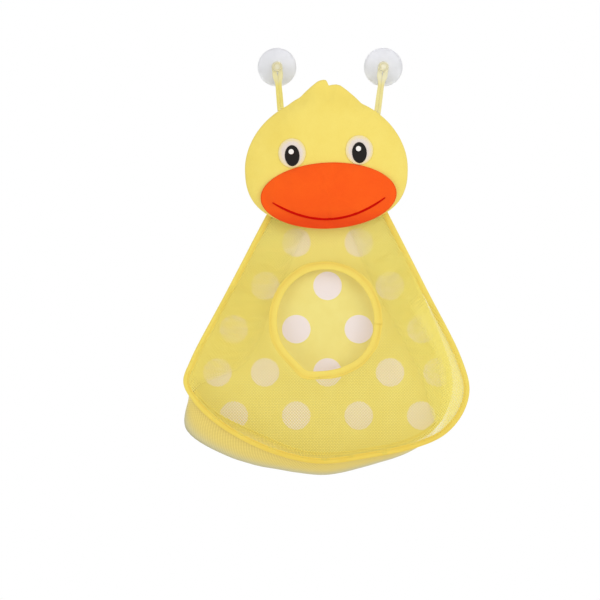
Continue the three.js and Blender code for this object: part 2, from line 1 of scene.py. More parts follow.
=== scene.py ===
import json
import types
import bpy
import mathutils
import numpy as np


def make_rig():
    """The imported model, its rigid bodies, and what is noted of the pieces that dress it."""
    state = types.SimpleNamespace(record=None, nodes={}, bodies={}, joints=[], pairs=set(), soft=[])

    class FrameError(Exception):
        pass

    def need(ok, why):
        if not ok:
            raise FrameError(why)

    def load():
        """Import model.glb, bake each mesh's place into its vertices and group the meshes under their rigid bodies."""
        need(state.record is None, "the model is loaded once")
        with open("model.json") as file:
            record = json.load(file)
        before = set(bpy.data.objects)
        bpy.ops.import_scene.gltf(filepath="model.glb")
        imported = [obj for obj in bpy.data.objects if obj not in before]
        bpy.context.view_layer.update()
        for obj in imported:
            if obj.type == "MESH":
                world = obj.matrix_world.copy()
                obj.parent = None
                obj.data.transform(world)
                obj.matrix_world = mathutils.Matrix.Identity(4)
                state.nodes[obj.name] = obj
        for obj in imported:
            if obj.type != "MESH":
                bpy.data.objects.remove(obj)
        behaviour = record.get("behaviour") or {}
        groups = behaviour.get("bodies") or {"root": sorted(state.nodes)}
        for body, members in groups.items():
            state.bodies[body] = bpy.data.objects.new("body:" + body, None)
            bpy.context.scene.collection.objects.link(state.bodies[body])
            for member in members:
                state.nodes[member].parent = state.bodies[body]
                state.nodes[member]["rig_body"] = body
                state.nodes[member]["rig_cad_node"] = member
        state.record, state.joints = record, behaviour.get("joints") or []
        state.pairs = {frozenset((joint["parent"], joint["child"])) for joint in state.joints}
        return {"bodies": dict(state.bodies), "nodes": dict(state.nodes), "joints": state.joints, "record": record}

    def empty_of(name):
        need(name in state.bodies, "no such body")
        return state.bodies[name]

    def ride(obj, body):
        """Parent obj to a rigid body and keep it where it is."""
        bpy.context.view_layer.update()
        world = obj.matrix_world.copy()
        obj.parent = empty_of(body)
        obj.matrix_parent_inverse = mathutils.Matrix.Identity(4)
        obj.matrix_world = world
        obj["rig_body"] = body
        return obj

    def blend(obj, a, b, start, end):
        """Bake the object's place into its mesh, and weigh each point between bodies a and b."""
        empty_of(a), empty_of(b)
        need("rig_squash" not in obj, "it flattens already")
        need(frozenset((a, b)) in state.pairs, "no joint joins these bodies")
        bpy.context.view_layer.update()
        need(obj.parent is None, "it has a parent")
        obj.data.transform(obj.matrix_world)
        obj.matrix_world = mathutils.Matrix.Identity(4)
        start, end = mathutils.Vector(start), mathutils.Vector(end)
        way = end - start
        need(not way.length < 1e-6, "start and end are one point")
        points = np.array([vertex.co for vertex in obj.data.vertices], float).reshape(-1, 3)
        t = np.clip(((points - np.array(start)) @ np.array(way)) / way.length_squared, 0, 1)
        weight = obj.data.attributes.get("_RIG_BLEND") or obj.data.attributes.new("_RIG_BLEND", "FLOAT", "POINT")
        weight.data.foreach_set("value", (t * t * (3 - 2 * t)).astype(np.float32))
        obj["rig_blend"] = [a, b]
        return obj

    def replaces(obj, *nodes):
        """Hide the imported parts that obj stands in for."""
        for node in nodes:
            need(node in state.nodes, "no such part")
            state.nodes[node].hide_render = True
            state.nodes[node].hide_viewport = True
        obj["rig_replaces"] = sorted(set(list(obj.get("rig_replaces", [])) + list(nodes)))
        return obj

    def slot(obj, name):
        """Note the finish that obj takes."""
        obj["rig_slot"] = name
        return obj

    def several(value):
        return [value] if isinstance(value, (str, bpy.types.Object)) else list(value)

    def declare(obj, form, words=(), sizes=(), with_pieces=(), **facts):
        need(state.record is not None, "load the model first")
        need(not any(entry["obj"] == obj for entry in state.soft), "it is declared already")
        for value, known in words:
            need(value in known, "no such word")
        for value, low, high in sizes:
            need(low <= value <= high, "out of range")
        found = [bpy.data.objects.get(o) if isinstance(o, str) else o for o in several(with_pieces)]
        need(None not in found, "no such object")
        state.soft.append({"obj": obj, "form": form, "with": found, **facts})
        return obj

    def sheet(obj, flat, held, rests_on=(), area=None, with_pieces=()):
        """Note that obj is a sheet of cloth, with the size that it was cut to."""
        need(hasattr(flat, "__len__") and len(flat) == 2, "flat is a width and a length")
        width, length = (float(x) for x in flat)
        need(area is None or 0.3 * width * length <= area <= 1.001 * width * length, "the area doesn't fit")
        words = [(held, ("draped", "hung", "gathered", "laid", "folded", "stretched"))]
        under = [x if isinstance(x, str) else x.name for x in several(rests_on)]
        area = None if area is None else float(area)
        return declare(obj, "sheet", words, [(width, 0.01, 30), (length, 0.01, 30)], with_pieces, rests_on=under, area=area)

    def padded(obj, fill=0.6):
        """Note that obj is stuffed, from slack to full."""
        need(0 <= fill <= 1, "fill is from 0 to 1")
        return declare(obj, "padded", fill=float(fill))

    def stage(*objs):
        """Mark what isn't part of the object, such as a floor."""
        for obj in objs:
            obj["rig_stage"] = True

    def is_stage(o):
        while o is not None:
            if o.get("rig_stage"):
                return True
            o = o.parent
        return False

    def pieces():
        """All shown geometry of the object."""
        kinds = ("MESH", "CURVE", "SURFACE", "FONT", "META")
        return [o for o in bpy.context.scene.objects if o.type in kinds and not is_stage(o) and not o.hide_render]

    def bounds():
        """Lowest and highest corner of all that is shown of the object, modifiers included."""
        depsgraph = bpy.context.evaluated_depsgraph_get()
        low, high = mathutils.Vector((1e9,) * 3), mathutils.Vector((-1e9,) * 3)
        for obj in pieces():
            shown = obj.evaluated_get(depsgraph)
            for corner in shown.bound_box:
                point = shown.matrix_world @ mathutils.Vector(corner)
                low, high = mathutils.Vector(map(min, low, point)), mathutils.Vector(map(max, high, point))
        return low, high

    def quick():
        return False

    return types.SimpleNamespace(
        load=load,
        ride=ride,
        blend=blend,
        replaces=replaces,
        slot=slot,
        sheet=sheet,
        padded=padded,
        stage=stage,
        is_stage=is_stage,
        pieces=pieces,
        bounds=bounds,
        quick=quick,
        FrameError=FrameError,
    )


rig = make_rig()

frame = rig.load()
cad_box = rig.bounds()

import json
import math

import bmesh
import bpy
from mathutils import Vector, noise
from mathutils.bvhtree import BVHTree

# The view. The bag hangs on a wall and is seen straight from the front, from far off, against plain white.
# The light is broad and soft, from the front, a little from above and from the right. The floor is pale.
MM = 0.001
view_width = 759.6 * MM
view_middle = Vector((-38.3, -20, -295.6)) * MM
camera_distance = 7
floor_height = -1.05
floor_radius = 0.95
floor_level = 0.9
floor_roughness = 0.8
room_level = 0.74


class Socket:
    """A socket of a node tree. Arithmetic on it adds Math nodes."""

    def __init__(self, tree, socket):
        self.tree = tree
        self.socket = socket

    def math(self, operation, *others):
        return node(self.tree, "ShaderNodeMath", dict(enumerate((self, *others))), operation=operation)

    def __add__(self, other):
        return self.math("ADD", other)

    def __sub__(self, other):
        return self.math("SUBTRACT", other)

    def __rsub__(self, other):
        return node(self.tree, "ShaderNodeMath", {0: other, 1: self}, operation="SUBTRACT")

    def __mul__(self, other):
        return self.math("MULTIPLY", other)

    def __truediv__(self, other):
        return self.math("DIVIDE", other)

    __radd__ = __add__
    __rmul__ = __mul__

    def clamped(self):
        return self.math("MINIMUM", 1).math("MAXIMUM", 0)

    def out(self, name):
        return Socket(self.tree, self.socket.node.outputs[name])

    def mm(self, axis):
        """One coordinate of a place, in mm."""
        return node(self.tree, "ShaderNodeSeparateXYZ", {0: self}).out(axis) / MM

    def waves(self, length):
        """A wave of this length along a distance, between -1 and 1."""
        return (self * (2 * math.pi / length)).math("SINE")


def node(tree, kind, sockets=None, **settings):
    """Adds a node: settings first, then the values or links of its sockets. Gives its first live output."""
    new = tree.nodes.new(kind)
    for name, value in settings.items():
        setattr(new, name, value)
    for name, value in (sockets or {}).items():
        if isinstance(value, Socket):
            tree.links.new(value.socket, new.inputs[name])
        else:
            new.inputs[name].default_value = value
    live = [output for output in new.outputs if output.enabled]
    return Socket(tree, live[0]) if live else None


def seen_directly(tree):
    """1 where the camera sees a thing itself, or sees it mirrored or through clear plastic."""
    path = node(tree, "ShaderNodeLightPath")
    rays = path.out("Is Camera Ray").math("MAXIMUM", path.out("Is Glossy Ray"))
    return rays.math("MAXIMUM", path.out("Is Transmission Ray"))


def placed(name, data, place=(0, 0, 0)):
    """A new object in the scene."""
    new = bpy.data.objects.new(name, data)
    new.location = place
    scene.collection.objects.link(new)
    return new


scene = bpy.context.scene
scene.view_settings.view_transform = "Standard"

lens = bpy.data.cameras.new("camera")
lens.sensor_width = 36
lens.lens = lens.sensor_width * camera_distance / view_width
scene.camera = placed("camera", lens, view_middle + Vector((0, -camera_distance, 0)))
scene.camera.rotation_euler = (math.pi / 2, 0, 0)

world = bpy.data.worlds.new("white_room")
scene.world = world
world.use_nodes = True
world.node_tree.nodes.clear()
room, backdrop = (
    node(world.node_tree, "ShaderNodeBackground", {"Color": (1, 1, 1, 1), "Strength": level})
    for level in (room_level, 1)
)
both = node(world.node_tree, "ShaderNodeMixShader", {0: seen_directly(world.node_tree), 1: room, 2: backdrop})
node(world.node_tree, "ShaderNodeOutputWorld", {"Surface": both})

lamps = {
    "key_lamp": (Vector((1.5, -2.4, 0.6)), 2.4, 22.3),
    "fill_lamp": (Vector((-1.5, -2.1, -0.7)), 1.6, 8),
    "back_lamp": (Vector((0.3, 2.2, 0.9)), 1.8, 10),
}
for name, (place, size, power) in lamps.items():
    lamp = bpy.data.lights.new(name, "AREA")
    lamp.shape = "DISK"
    lamp.size = size
    lamp.energy = power
    facing = (place - view_middle).to_track_quat("Z", "Y")
    placed(name, lamp, place).rotation_euler = facing.to_euler()

floor_mesh = bpy.data.meshes.new("floor")
floor_form = bmesh.new()
bmesh.ops.create_circle(floor_form, cap_ends=True, segments=96, radius=floor_radius)
floor_form.to_mesh(floor_mesh)
floor_paint = bpy.data.materials.new("floor_paint")
floor_paint.use_nodes = True
floor_shader = floor_paint.node_tree.nodes["Principled BSDF"]
floor_shader.inputs["Base Color"].default_value = (floor_level, floor_level, floor_level, 1)
floor_shader.inputs["Roughness"].default_value = floor_roughness
floor_mesh.materials.append(floor_paint)
floor = placed("floor", floor_mesh, (view_middle.x, view_middle.y, floor_height))
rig.stage(floor)

# The back panel. One piece of close-woven yellow cloth, printed with rows of white dots, cut to the drop
# shape of the bag. It runs up behind the head, where it is sewn in with the bag's mesh.
bag_offset = 5
bag_width = 362
bag_drop = 314
hinge_drop = 190
back_stand = 10
back_lean = -1.54
back_rise = 50
back_wave = 1.1
back_wave_length = 46
back_middle_drop = 150
back_rings = 22
tape_inside = 1.0
line_steps = 8
dot_radius = 18
dot_pitch = (79.3, 109.8)
dot_origin = (-3.4, -277.6)
dot_nudge = 19
dot_ragged = 0.8
dot_edge = 0.25
weave_pitch = 0.9
cloth_colour = (248, 235, 142)
cloth_deep_colour = (241, 224, 124)
dot_colour = (245, 233, 230)
print_low = -478

# Painted light: the cloth and the mesh are painted lighter behind the chin, against the shade under the head: from
# this height up, over a span, and by this share.
painted_light_from = -262
painted_light_span = 45
painted_light_share = 0.7
cloth_painted_light_colour = (255, 241, 142)

# Rows down the left side, round the bottom and up the right side: x and drop of the front edge, of the
# gusset's fold and of the back edge, as shares of half the bag's width and of its drop
bag_shares = [
    (-0.40, -0.03, -0.08, -0.03, -0.40, -0.03),
    (-0.70, 0.304, -0.34, 0.304, -0.70, 0.304),
    (-0.95, 0.58, -0.58, 0.60, -0.94, 0.58),
    (-1.0, 0.67, -0.90, 0.69, -0.97, 0.67),
    (-0.93, 0.75, -0.99, 0.80, -0.90, 0.75),
    (-0.78, 0.835, -0.97, 0.868, -0.76, 0.82),
    (-0.50, 0.93, -0.66, 0.975, -0.50, 0.892),
    (-0.20, 0.988, -0.24, 1.03, -0.20, 0.962),
    (0, 1.0, 0, 1.043, 0, 0.976),
    (0.30, 0.976, 0.30, 1.005, 0.30, 0.957),
    (0.60, 0.94, 0.60, 0.945, 0.58, 0.92),
    (0.82, 0.885, 0.76, 0.87, 0.76, 0.86),
    (0.95, 0.80, 0.72, 0.77, 0.85, 0.78),
    (1.0, 0.70, 0.68, 0.68, 0.885, 0.70),
    (0.945, 0.574, 0.60, 0.574, 0.87, 0.60),
    (0.70, 0.29, 0.34, 0.29, 0.66, 0.29),
    (0.42, -0.03, 0.10, -0.03, 0.40, -0.03),
]
back_top_shares = [(-0.27, -0.16), (0.28, -0.16)]


def bag_point(x_share, drop_share):
    return Vector((x_share * bag_width / 2 - bag_offset, -drop_share * bag_drop))


def smooth_line(points, steps, closed=False):
    """A smooth line through points, with the same number of steps between any two of them."""
    count = len(points)

    def at(place):
        if closed or 0 <= place < count:
            return points[place % count]
        return 2 * points[0] - points[1] if place < 0 else 2 * points[-1] - points[-2]

    line = []
    for span in range(count if closed else count - 1):
        a, b, c, d = (at(span + step) for step in (-1, 0, 1, 2))
        before, here, after = (math.sqrt((q - p).length) for p, q in ((a, b), (b, c), (c, d)))
        leave = ((b - a) / before - (c - a) / (before + here) + (c - b) / here) * here
        arrive = ((c - b) / here - (d - b) / (here + after) + (d - c) / after) * here
        for step in range(steps):
            t = step / steps
            line.append(
                b * (2 * t ** 3 - 3 * t ** 2 + 1) + leave * (t ** 3 - 2 * t ** 2 + t)
                + c * (3 * t ** 2 - 2 * t ** 3) + arrive * (t ** 3 - t ** 2)
            )
    return line if closed else line + [points[-1].copy()]


def directions(line, closed=False):
    """The direction of a line at each of its points."""
    last = len(line) - 1
    found = []
    for step in range(len(line)):
        before = line[step - 1] if closed or step else line[0]
        after = line[(step + 1) % len(line)] if closed else line[min(step + 1, last)]
        found.append((after - before).normalized())
    return found


def leftward(line, closed=False):
    """The direction to the left of a line, at each of its points."""
    return [Vector((-along.y, along.x)) for along in directions(line, closed)]


def shifted(line, distance, closed=False):
    return [point + left * distance for point, left in zip(line, leftward(line, closed))]


def panel_place(stand, lean):
    """Gives the function that puts a point of a panel in the room, from x, y up the panel and out of it."""
    turn = math.radians(lean)

    def place(x, y, out=0):
        forward = stand - y * math.sin(turn) + out * math.cos(turn)
        return Vector((x, -forward, -hinge_drop + y * math.cos(turn) + out * math.sin(turn))) * MM

    return place


def ripple(x, y, length, seed):
    """A soft unevenness between about -1 and 1, with waves of the given length in mm."""
    return noise.noise(Vector((x / length, y / length, seed)))


def new_piece(name, points, faces, material, flat=(), sheet=False):
    """A piece from its points and faces. The faces are turned outward unless it is an open sheet.

    It may keep each point's place on the flat cloth, along and across in mm, for the weave.
    """
    mesh = bpy.data.meshes.new(name)
    mesh.from_pydata([tuple(point) for point in points], [], faces)
    mesh.polygons.foreach_set("use_smooth", [True] * len(mesh.polygons))
    mesh.materials.append(material)
    if flat:
        kept = mesh.attributes.new("flat_cloth", "FLOAT_VECTOR", "POINT")
        kept.data.foreach_set("vector", [value * MM for place in flat for value in (place[0], 0, place[1])])
    if not sheet:
        form = bmesh.new()
        form.from_mesh(mesh)
        bmesh.ops.recalc_face_normals(form, faces=form.faces)
        form.to_mesh(mesh)
        form.free()
    return placed(name, mesh)


def fan(end, ring, around):
    """Faces from one point to a ring of points, given by the number of its first."""
    return [(end, ring + step, ring + (step + 1) % around) for step in range(around)]


def bands(rows, around, closed=False):
    """Faces between each row of points and the next, where each row is a ring."""
    faces = []
    for row in range(rows if closed else rows - 1):
        here, there = row * around, (row + 1) % rows * around
        for step in range(around):
            after = (step + 1) % around
            faces.append((here + step, there + step, there + after, here + after))
    return faces


def ring_sheet(inner, outer, rings, middle=None):
    """Points and faces of a sheet between two closed lines, or from a middle point out to a line."""
    steps = len(outer)
    points = [a.lerp(b, ring / rings) for ring in range(0 if inner else 1, rings + 1)
              for a, b in zip(inner or [middle] * steps, outer)]
    faces = bands(len(points) // steps, steps)
    if not inner:
        points.append(middle)
        faces += fan(len(points) - 1, 0, steps)
    return points, faces


def flat_area(points, faces):
    """Area in square metres of a sheet that lies flat, from its points in mm."""
    total = 0
    for face in faces:
        corners = [points[corner] for corner in face]
        total += abs(sum(a.x * b.y - b.x * a.y for a, b in zip(corners, corners[1:] + corners[:1]))) / 2
    return total * MM * MM


def linear(colour):
    """A colour measured in 0 to 255 as the renderer's own red, green and blue."""
    shares = [value / 255 for value in colour]
    return (*[s / 12.92 if s <= 0.04045 else ((s + 0.055) / 1.055) ** 2.4 for s in shares], 1)


def new_finish(name):
    """An empty material, and the object's own coordinates in it."""
    material = bpy.data.materials.new(name)
    material.use_nodes = True
    material.node_tree.nodes.clear()
    return material, node(material.node_tree, "ShaderNodeTexCoord").out("Object")


def mottle(at, scale, detail=2, roughness=0.5):
    """Uneven spots between 0 and 1, the finer the higher the scale."""
    sockets = {"Vector": at, "Scale": scale, "Detail": detail, "Roughness": roughness}
    return node(at.tree, "ShaderNodeTexNoise", sockets)


def blended(factor, first, second):
    """Mixes two colours by a factor, each given as a socket or as measured values."""
    first, second = (c if isinstance(c, Socket) else linear(c) for c in (first, second))
    mix = node(factor.tree, "ShaderNodeMix", {0: factor, 6: first, 7: second}, data_type="RGBA")
    return Socket(factor.tree, mix.socket.node.outputs[2])


def surface(material, colour, rough, height, depth, strength=1.0, more=None):
    """Closes a material: a Principled shader, and a bump from a height, for a depth in mm."""
    tree = material.node_tree
    bump = node(tree, "ShaderNodeBump", {"Height": height, "Distance": depth * MM, "Strength": strength})
    sockets = {"Base Color": colour, "Roughness": rough, "Normal": bump, **(more or {})}
    node(tree, "ShaderNodeOutputMaterial", {"Surface": node(tree, "ShaderNodeBsdfPrincipled", sockets)})
    return material


def staggered(at, pitch, origin=(0, 0), nudge=0):
    """Distance in mm to the nearest point of staggered rows, in the plane of x and z.

    The outer points of every other row may lie nearer in, by a nudge in mm.
    """
    x, z = at.mm("X"), at.mm("Z")
    squares = []
    for shift in (0, 0.5):
        across = x
        if nudge and not shift:
            off_middle = x - origin[0]
            outer = off_middle.math("ABSOLUTE").math("GREATER_THAN", 1.5 * pitch[0])
            across = x + outer * off_middle.math("SIGN") * nudge
        side, up = (
            ((place / size + (shift + 0.5 - start / size)).math("FRACT") - 0.5) * size
            for place, size, start in zip((across, z), pitch, origin)
        )
        squares.append(side * side + up * up)
    return squares[0].math("MINIMUM", squares[1]).math("SQRT")


def plain_weave(at, pitch):
    """Height of a plain weave, from two crossing sets of threads in the plane of x and z."""
    warp, weft = (at.mm(axis).waves(pitch) for axis in "XZ")
    return warp * weft


def painted_chin_light(at):
    """How much painted light lifts the colour of the bag's cloth at a height, against the shade under the head."""
    return ((at.mm("Z") - painted_light_from) / painted_light_span).clamped() * painted_light_share


def printed_cloth():
    material, at = new_finish("printed_cloth")
    ground = blended(mottle(at, 60, 4), cloth_deep_colour, cloth_colour)
    # Painted light behind the chin, against the shade under the head.
    ground = blended(painted_chin_light(at), ground, cloth_painted_light_colour)
    far = staggered(at, dot_pitch, dot_origin, dot_nudge) + (mottle(at, 900) - 0.5) * dot_ragged
    inside = ((dot_radius - far + dot_edge) / (2 * dot_edge)).clamped()
    printed = inside * at.mm("Z").math("GREATER_THAN", print_low)
    colour = blended(printed, ground, dot_colour)
    weave = plain_weave(at, weave_pitch)
    return surface(material, colour, 0.86 - printed * 0.14, weave, 0.12, 0.6, {"Sheen Weight": 0.12})


back_place = panel_place(back_stand, back_lean)
back_rows = [bag_point(row[4], row[5]) for row in bag_shares]
back_top = [bag_point(*share) for share in back_top_shares]
back_line = smooth_line([back_top[0], *back_rows, back_top[1]], line_steps)
back_middle = Vector((-bag_offset, -back_middle_drop))
back_points, back_faces = ring_sheet(None, shifted(back_line, tape_inside), back_rings, back_middle)
back_panel = new_piece(
    "back_panel_cloth",
    [back_place(x, y, back_wave * ripple(x, y * 0.5, back_wave_length, 3)) for x, y in back_points],
    back_faces,
    printed_cloth(),
    sheet=True,
)
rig.replaces(back_panel, "back_panel")
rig.slot(back_panel, "printed_cloth")
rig.sheet(
    back_panel, flat=(bag_width * MM, (bag_drop + back_rise) * MM), held="hung",
    area=flat_area(back_points, back_faces))
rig.ride(back_panel, "bag")

# The edge tape of the back panel. A yellow cotton tape folded over the raw edge and sewn through with one row
# of stitches. The gusset is caught in the same seam.
tape_width = 7.5
tape_height = 2.4
tape_step = 2.2
tape_twill = 1.1
tape_sway = 0.35
tape_sway_length = 19
tape_pucker = 0.13
tape_pucker_length = 5.5
tape_lap_steps = 3
tape_lap_rise = 0.9
# Painted shade: the tapes darken from this depth in mm down, over this span, where the bottom of the bag faces down.
tape_painted_shade_from = 400
tape_painted_shade_span = 100
stitch_pitch = 3.3
stitch_length = 2.3
stitch_radius = 0.27
stitch_reach = 5.6
stitch_height = 0.78
stitch_sides = 6
tape_colour = (253, 230, 104)
# Deep colour of the tape, which also carries its painted shade.
tape_deep_and_shaded_colour = (246, 212, 82)
# Painted light: the back tape is the same tape as the front one, painted lighter against the shade behind the front
# mesh. Its deep colour also carries the painted shade.
back_tape_painted_lighter_colour = (255, 242, 136)
back_tape_lighter_deep_and_shaded_colour = (251, 229, 112)
thread_colour = (244, 208, 74)

# Section of the folded tape: how far in from the fold, and how high above the cloth, as shares of its sizes
tape_shares = [
    (1.0, 0.22), (0.97, 0.58), (0.88, 0.8), (0.74, 0.62), (0.6, 0.86), (0.36, 1.0), (0.14, 0.96),
    (0.03, 0.55),
]
# A stitch, row by row: how far along it, its girth, and its rise, as shares of its length and radius
stitch_rows = [(-0.5, 0.15, -0.25), (-0.3, 0.9, 0.05), (0, 1.0, 0.2), (0.3, 0.9, 0.05), (0.5, 0.15, -0.25)]


def even_line(line, spacing, closed=False):
    """The same line with points at an even spacing."""
    ends = line + [line[0]] if closed else line
    lengths = [0.0]
    for before, after in zip(ends, ends[1:]):
        lengths.append(lengths[-1] + (after - before).length)
    count = max(3, round(lengths[-1] / spacing))
    found, span = [], 0
    for step in range(count if closed else count + 1):
        goal = min(lengths[-1] * step / count, lengths[-1])
        while span < len(ends) - 2 and lengths[span + 1] < goal:
            span += 1
        share = (goal - lengths[span]) / max(1e-9, lengths[span + 1] - lengths[span])
        found.append(ends[span].lerp(ends[span + 1], min(1, share)))
    return found


def circle(steps):
    """Cosine and sine at even steps round a circle."""
    angles = [2 * math.pi * step / steps for step in range(steps)]
    return [(math.cos(angle), math.sin(angle)) for angle in angles]


def tube_faces(rows, corners, closed=False):
    """Faces of a skin over rows of corners that each close in a ring; an open skin gets its two ends."""
    faces = bands(rows, corners, closed)
    if not closed:
        first, last = range(corners), range((rows - 1) * corners, rows * corners)
        faces += [tuple(first), tuple(reversed(last))]
    return faces


def from_points(at, name, output="Fac"):
    """A value that the mesh keeps at its points."""
    return node(at.tree, "ShaderNodeAttribute", attribute_name=name).out(output)


def tape_cloth(name, plain, folded):
    """Cotton tape: a fine twill, spots of deeper tone, and painted shade towards its stitched edge and along the
    bottom of the bag.
    """
    material, at = new_finish(name)
    cloth = from_points(at, "flat_cloth", "Vector")
    twill = (cloth.mm("X") + cloth.mm("Z")).waves(tape_twill)
    # Painted shade: inner grows from the fold to the stitched edge, and low darkens the tape near the bottom of the
    # bag. With the random spots, both blend towards the colour given as folded.
    inner = (cloth.mm("Z") / tape_width).clamped()
    low = ((at.mm("Z") + tape_painted_shade_from) / -tape_painted_shade_span).clamped()
    depth = (mottle(at, 75, 3) * 0.7 + inner * inner * 0.55 + low * 0.6 - 0.15).clamped()
    colour = blended(depth, plain, folded)
    return surface(material, colour, 0.82 + twill * 0.05, twill, 0.16, 0.7, {"Sheen Weight": 0.15})


def sewing_thread():
    """Polyester sewing thread: a little gloss, and painted shade between its two turned strands."""
    material, at = new_finish("tape_thread")
    strands = node(at.tree, "ShaderNodeTexWave", {"Vector": at, "Scale": 900, "Distortion": 1.5})
    shade = blended(strands, tuple(value * 0.86 for value in thread_colour), thread_colour)
    return surface(material, shade, 0.55 - strands * 0.1, strands, 0.08, more={"Sheen Weight": 0.1})


def binding(name, line, place, material, width=tape_width, closed=False, sway=tape_sway, seed=0):
    """A folded tape along a line of a panel, with its fold on the line and its legs to the line's left."""
    even = even_line(line, tape_step, closed)
    if closed:
        even += even[:tape_lap_steps]
    section = tape_shares + [(reach, -height) for reach, height in reversed(tape_shares)]
    points, flat = [], []
    for step, (point, side) in enumerate(zip(even, leftward(even))):
        along = step * tape_step
        sag = sway * ripple(along, 0, tape_sway_length, seed)
        pucker = 1 + tape_pucker * ripple(along, 9, tape_pucker_length, seed)
        lapped = max(0, step - len(even) + tape_lap_steps + 1) if closed else 0
        lap = tape_lap_rise * lapped / tape_lap_steps
        for reach, height in section:
            corner = point + side * (reach * width + sag * reach)
            points.append(place(corner.x, corner.y, height * tape_height / 2 * pucker + sag * 0.5 + lap))
            flat.append((along, reach * width))
    return new_piece(name, points, tube_faces(len(even), len(section)), material, flat)


def stitches(name, line, place, height, closed=False):
    """A row of straight stitches along a line of a panel, on its front and on its back."""
    even = even_line(line, stitch_pitch, closed)
    points, faces = [], []
    for before, after in zip(even, even[1:]):
        middle, along = (before + after) / 2, (after - before).normalized()
        across = Vector((-along.y, along.x))
        for face in (1, -1):
            start = len(points)
            for share, girth, rise in stitch_rows:
                r = stitch_radius * girth
                for c, s in circle(stitch_sides):
                    spot = middle + along * share * stitch_length + across * r * c
                    points.append(place(spot.x, spot.y, face * (height + rise * stitch_radius + r * s)))
            skin = tube_faces(len(stitch_rows), stitch_sides)
            faces += [tuple(start + corner for corner in corners) for corners in skin]
    return new_piece(name, points, faces, thread_finish)


tape_finish = tape_cloth("edge_tape", tape_colour, tape_deep_and_shaded_colour)
thread_finish = sewing_thread()
back_tape_finish = tape_cloth("back_edge_tape", back_tape_painted_lighter_colour, back_tape_lighter_deep_and_shaded_colour)
back_tape = binding("back_edge_tape", back_line, back_place, back_tape_finish, seed=1)
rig.replaces(back_tape, "back_binding")
back_stitches = stitches("back_tape_stitches", shifted(back_line, stitch_reach), back_place, stitch_height)
for piece in (back_tape, back_stitches):
    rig.slot(piece, "tape")
    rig.ride(piece, "bag")

# The gusset. A long strip of the same knitted mesh as the front, sewn between the two edge tapes. Down both
# sides it folds inward like the side of a paper bag, and along the bottom it bulges out and sags.
gusset_across = 14
gusset_gap = 1.6
gusset_round = 0.35
gusset_wave = 2.2
gusset_wave_length = 24
gusset_wave_across = 40
gusset_rise = 0.8
gusset_rise_length = 31
mesh_pitch = (3.6, 3.9)
mesh_open = 0.66
mesh_edge = 0.2
mesh_colour = (250, 235, 113)
mesh_deep_colour = (241, 222, 91)
# Painted light: the colour the mesh takes behind the chin, against the shade under the head.
mesh_painted_light_colour = (255, 246, 138)
# Painted light: the gusset is the same mesh as the front, painted lighter against the shade of its layers inside the
# bag.
gusset_painted_lighter_colour = (255, 243, 138)
gusset_deep_painted_lighter_colour = (250, 231, 116)
# Painted shade: where the strip lies doubled along the bottom, it faces down and out and is painted darker. The deeper
# colour follows the yarn.
doubled_shaded_colour = (242, 221, 122)
doubled_deep_shaded_colour = (233, 207, 102)
fold_shade_colour = (206, 202, 164)
# Painted light: the colour the gusset takes on its right side, where the light falls from the right.
right_painted_light_colour = (255, 246, 142)
front_stand = 17.2
front_lean = 5.7

# The strip lies doubled from a share of the bag's drop on, over a span. Painted light: at the right side less of it is
# doubled and it is painted lighter, most of all by the tape and at the fold, and there it starts by other shares.
doubled_from = 0.64
doubled_over = 0.1
right_span = 60
right_low = 0.95
right_low_over = 0.12
right_sooner = 0.08
tape_later = 0.42
tape_share = 0.25
tape_share_over = 0.09
right_lighter = 0.55
tape_darker = 0.43
fold_lighter = 0.4
fold_reach = 0.2
crease_depth = 0.85
crease_reach = 0.16

front_place = panel_place(front_stand, front_lean)
front_line, fold_line, gusset_back_line = (
    smooth_line([bag_point(*row[first:first + 2]) for row in bag_shares], line_steps) for first in (0, 2, 4)
)


def knitted_mesh(name, light, deep, doubled=False):
    """Knitted polyester mesh: round holes in staggered rows, closed where a strip of it lies doubled. Painted light
    lifts it behind the chin and on the gusset's right side; painted shade darkens it where doubled and along the fold.
    """
    material, at = new_finish(name)
    cloth = from_points(at, "flat_cloth", "Vector")
    radius = math.sqrt(mesh_open * mesh_pitch[0] * mesh_pitch[1] / 2 / math.pi)
    far = staggered(cloth, mesh_pitch)
    yarn = cover = ((far - (radius - mesh_edge)) / (2 * mesh_edge)).clamped()
    uneven = mottle(cloth, 70, 3)
    colour = blended(painted_chin_light(at), blended(uneven, deep, light), mesh_painted_light_colour)
    if doubled:
        layers, crease, lit = (from_points(at, name) for name in ("doubled", "crease", "lit"))
        thin = (crease * 0.72 + 0.12) * (1 - layers)
        cover = (yarn * (1 - thin)).math("MAXIMUM", layers * (yarn * 0.1 + 0.9))
        # Painted shade where the strip lies doubled, with the yarn's pattern in it.
        under = blended(yarn * 0.6, doubled_deep_shaded_colour, doubled_shaded_colour)
        colour = blended(layers, colour, under)
        colour = blended(layers * crease, colour, fold_shade_colour)
        # Painted light on the gusset's right side.
        colour = blended(lit * 0.85, colour, right_painted_light_colour)
    more = {"Alpha": cover, "Sheen Weight": 0.1}
    return surface(material, colour, 0.5 + uneven * 0.15, far, 0.2, 0.5, more)


def clamped(value):
    return min(1, max(0, value))


def bell(off, reach):
    """1 where off is 0, and fading to both sides."""
    return math.exp(-(off / reach) ** 2)


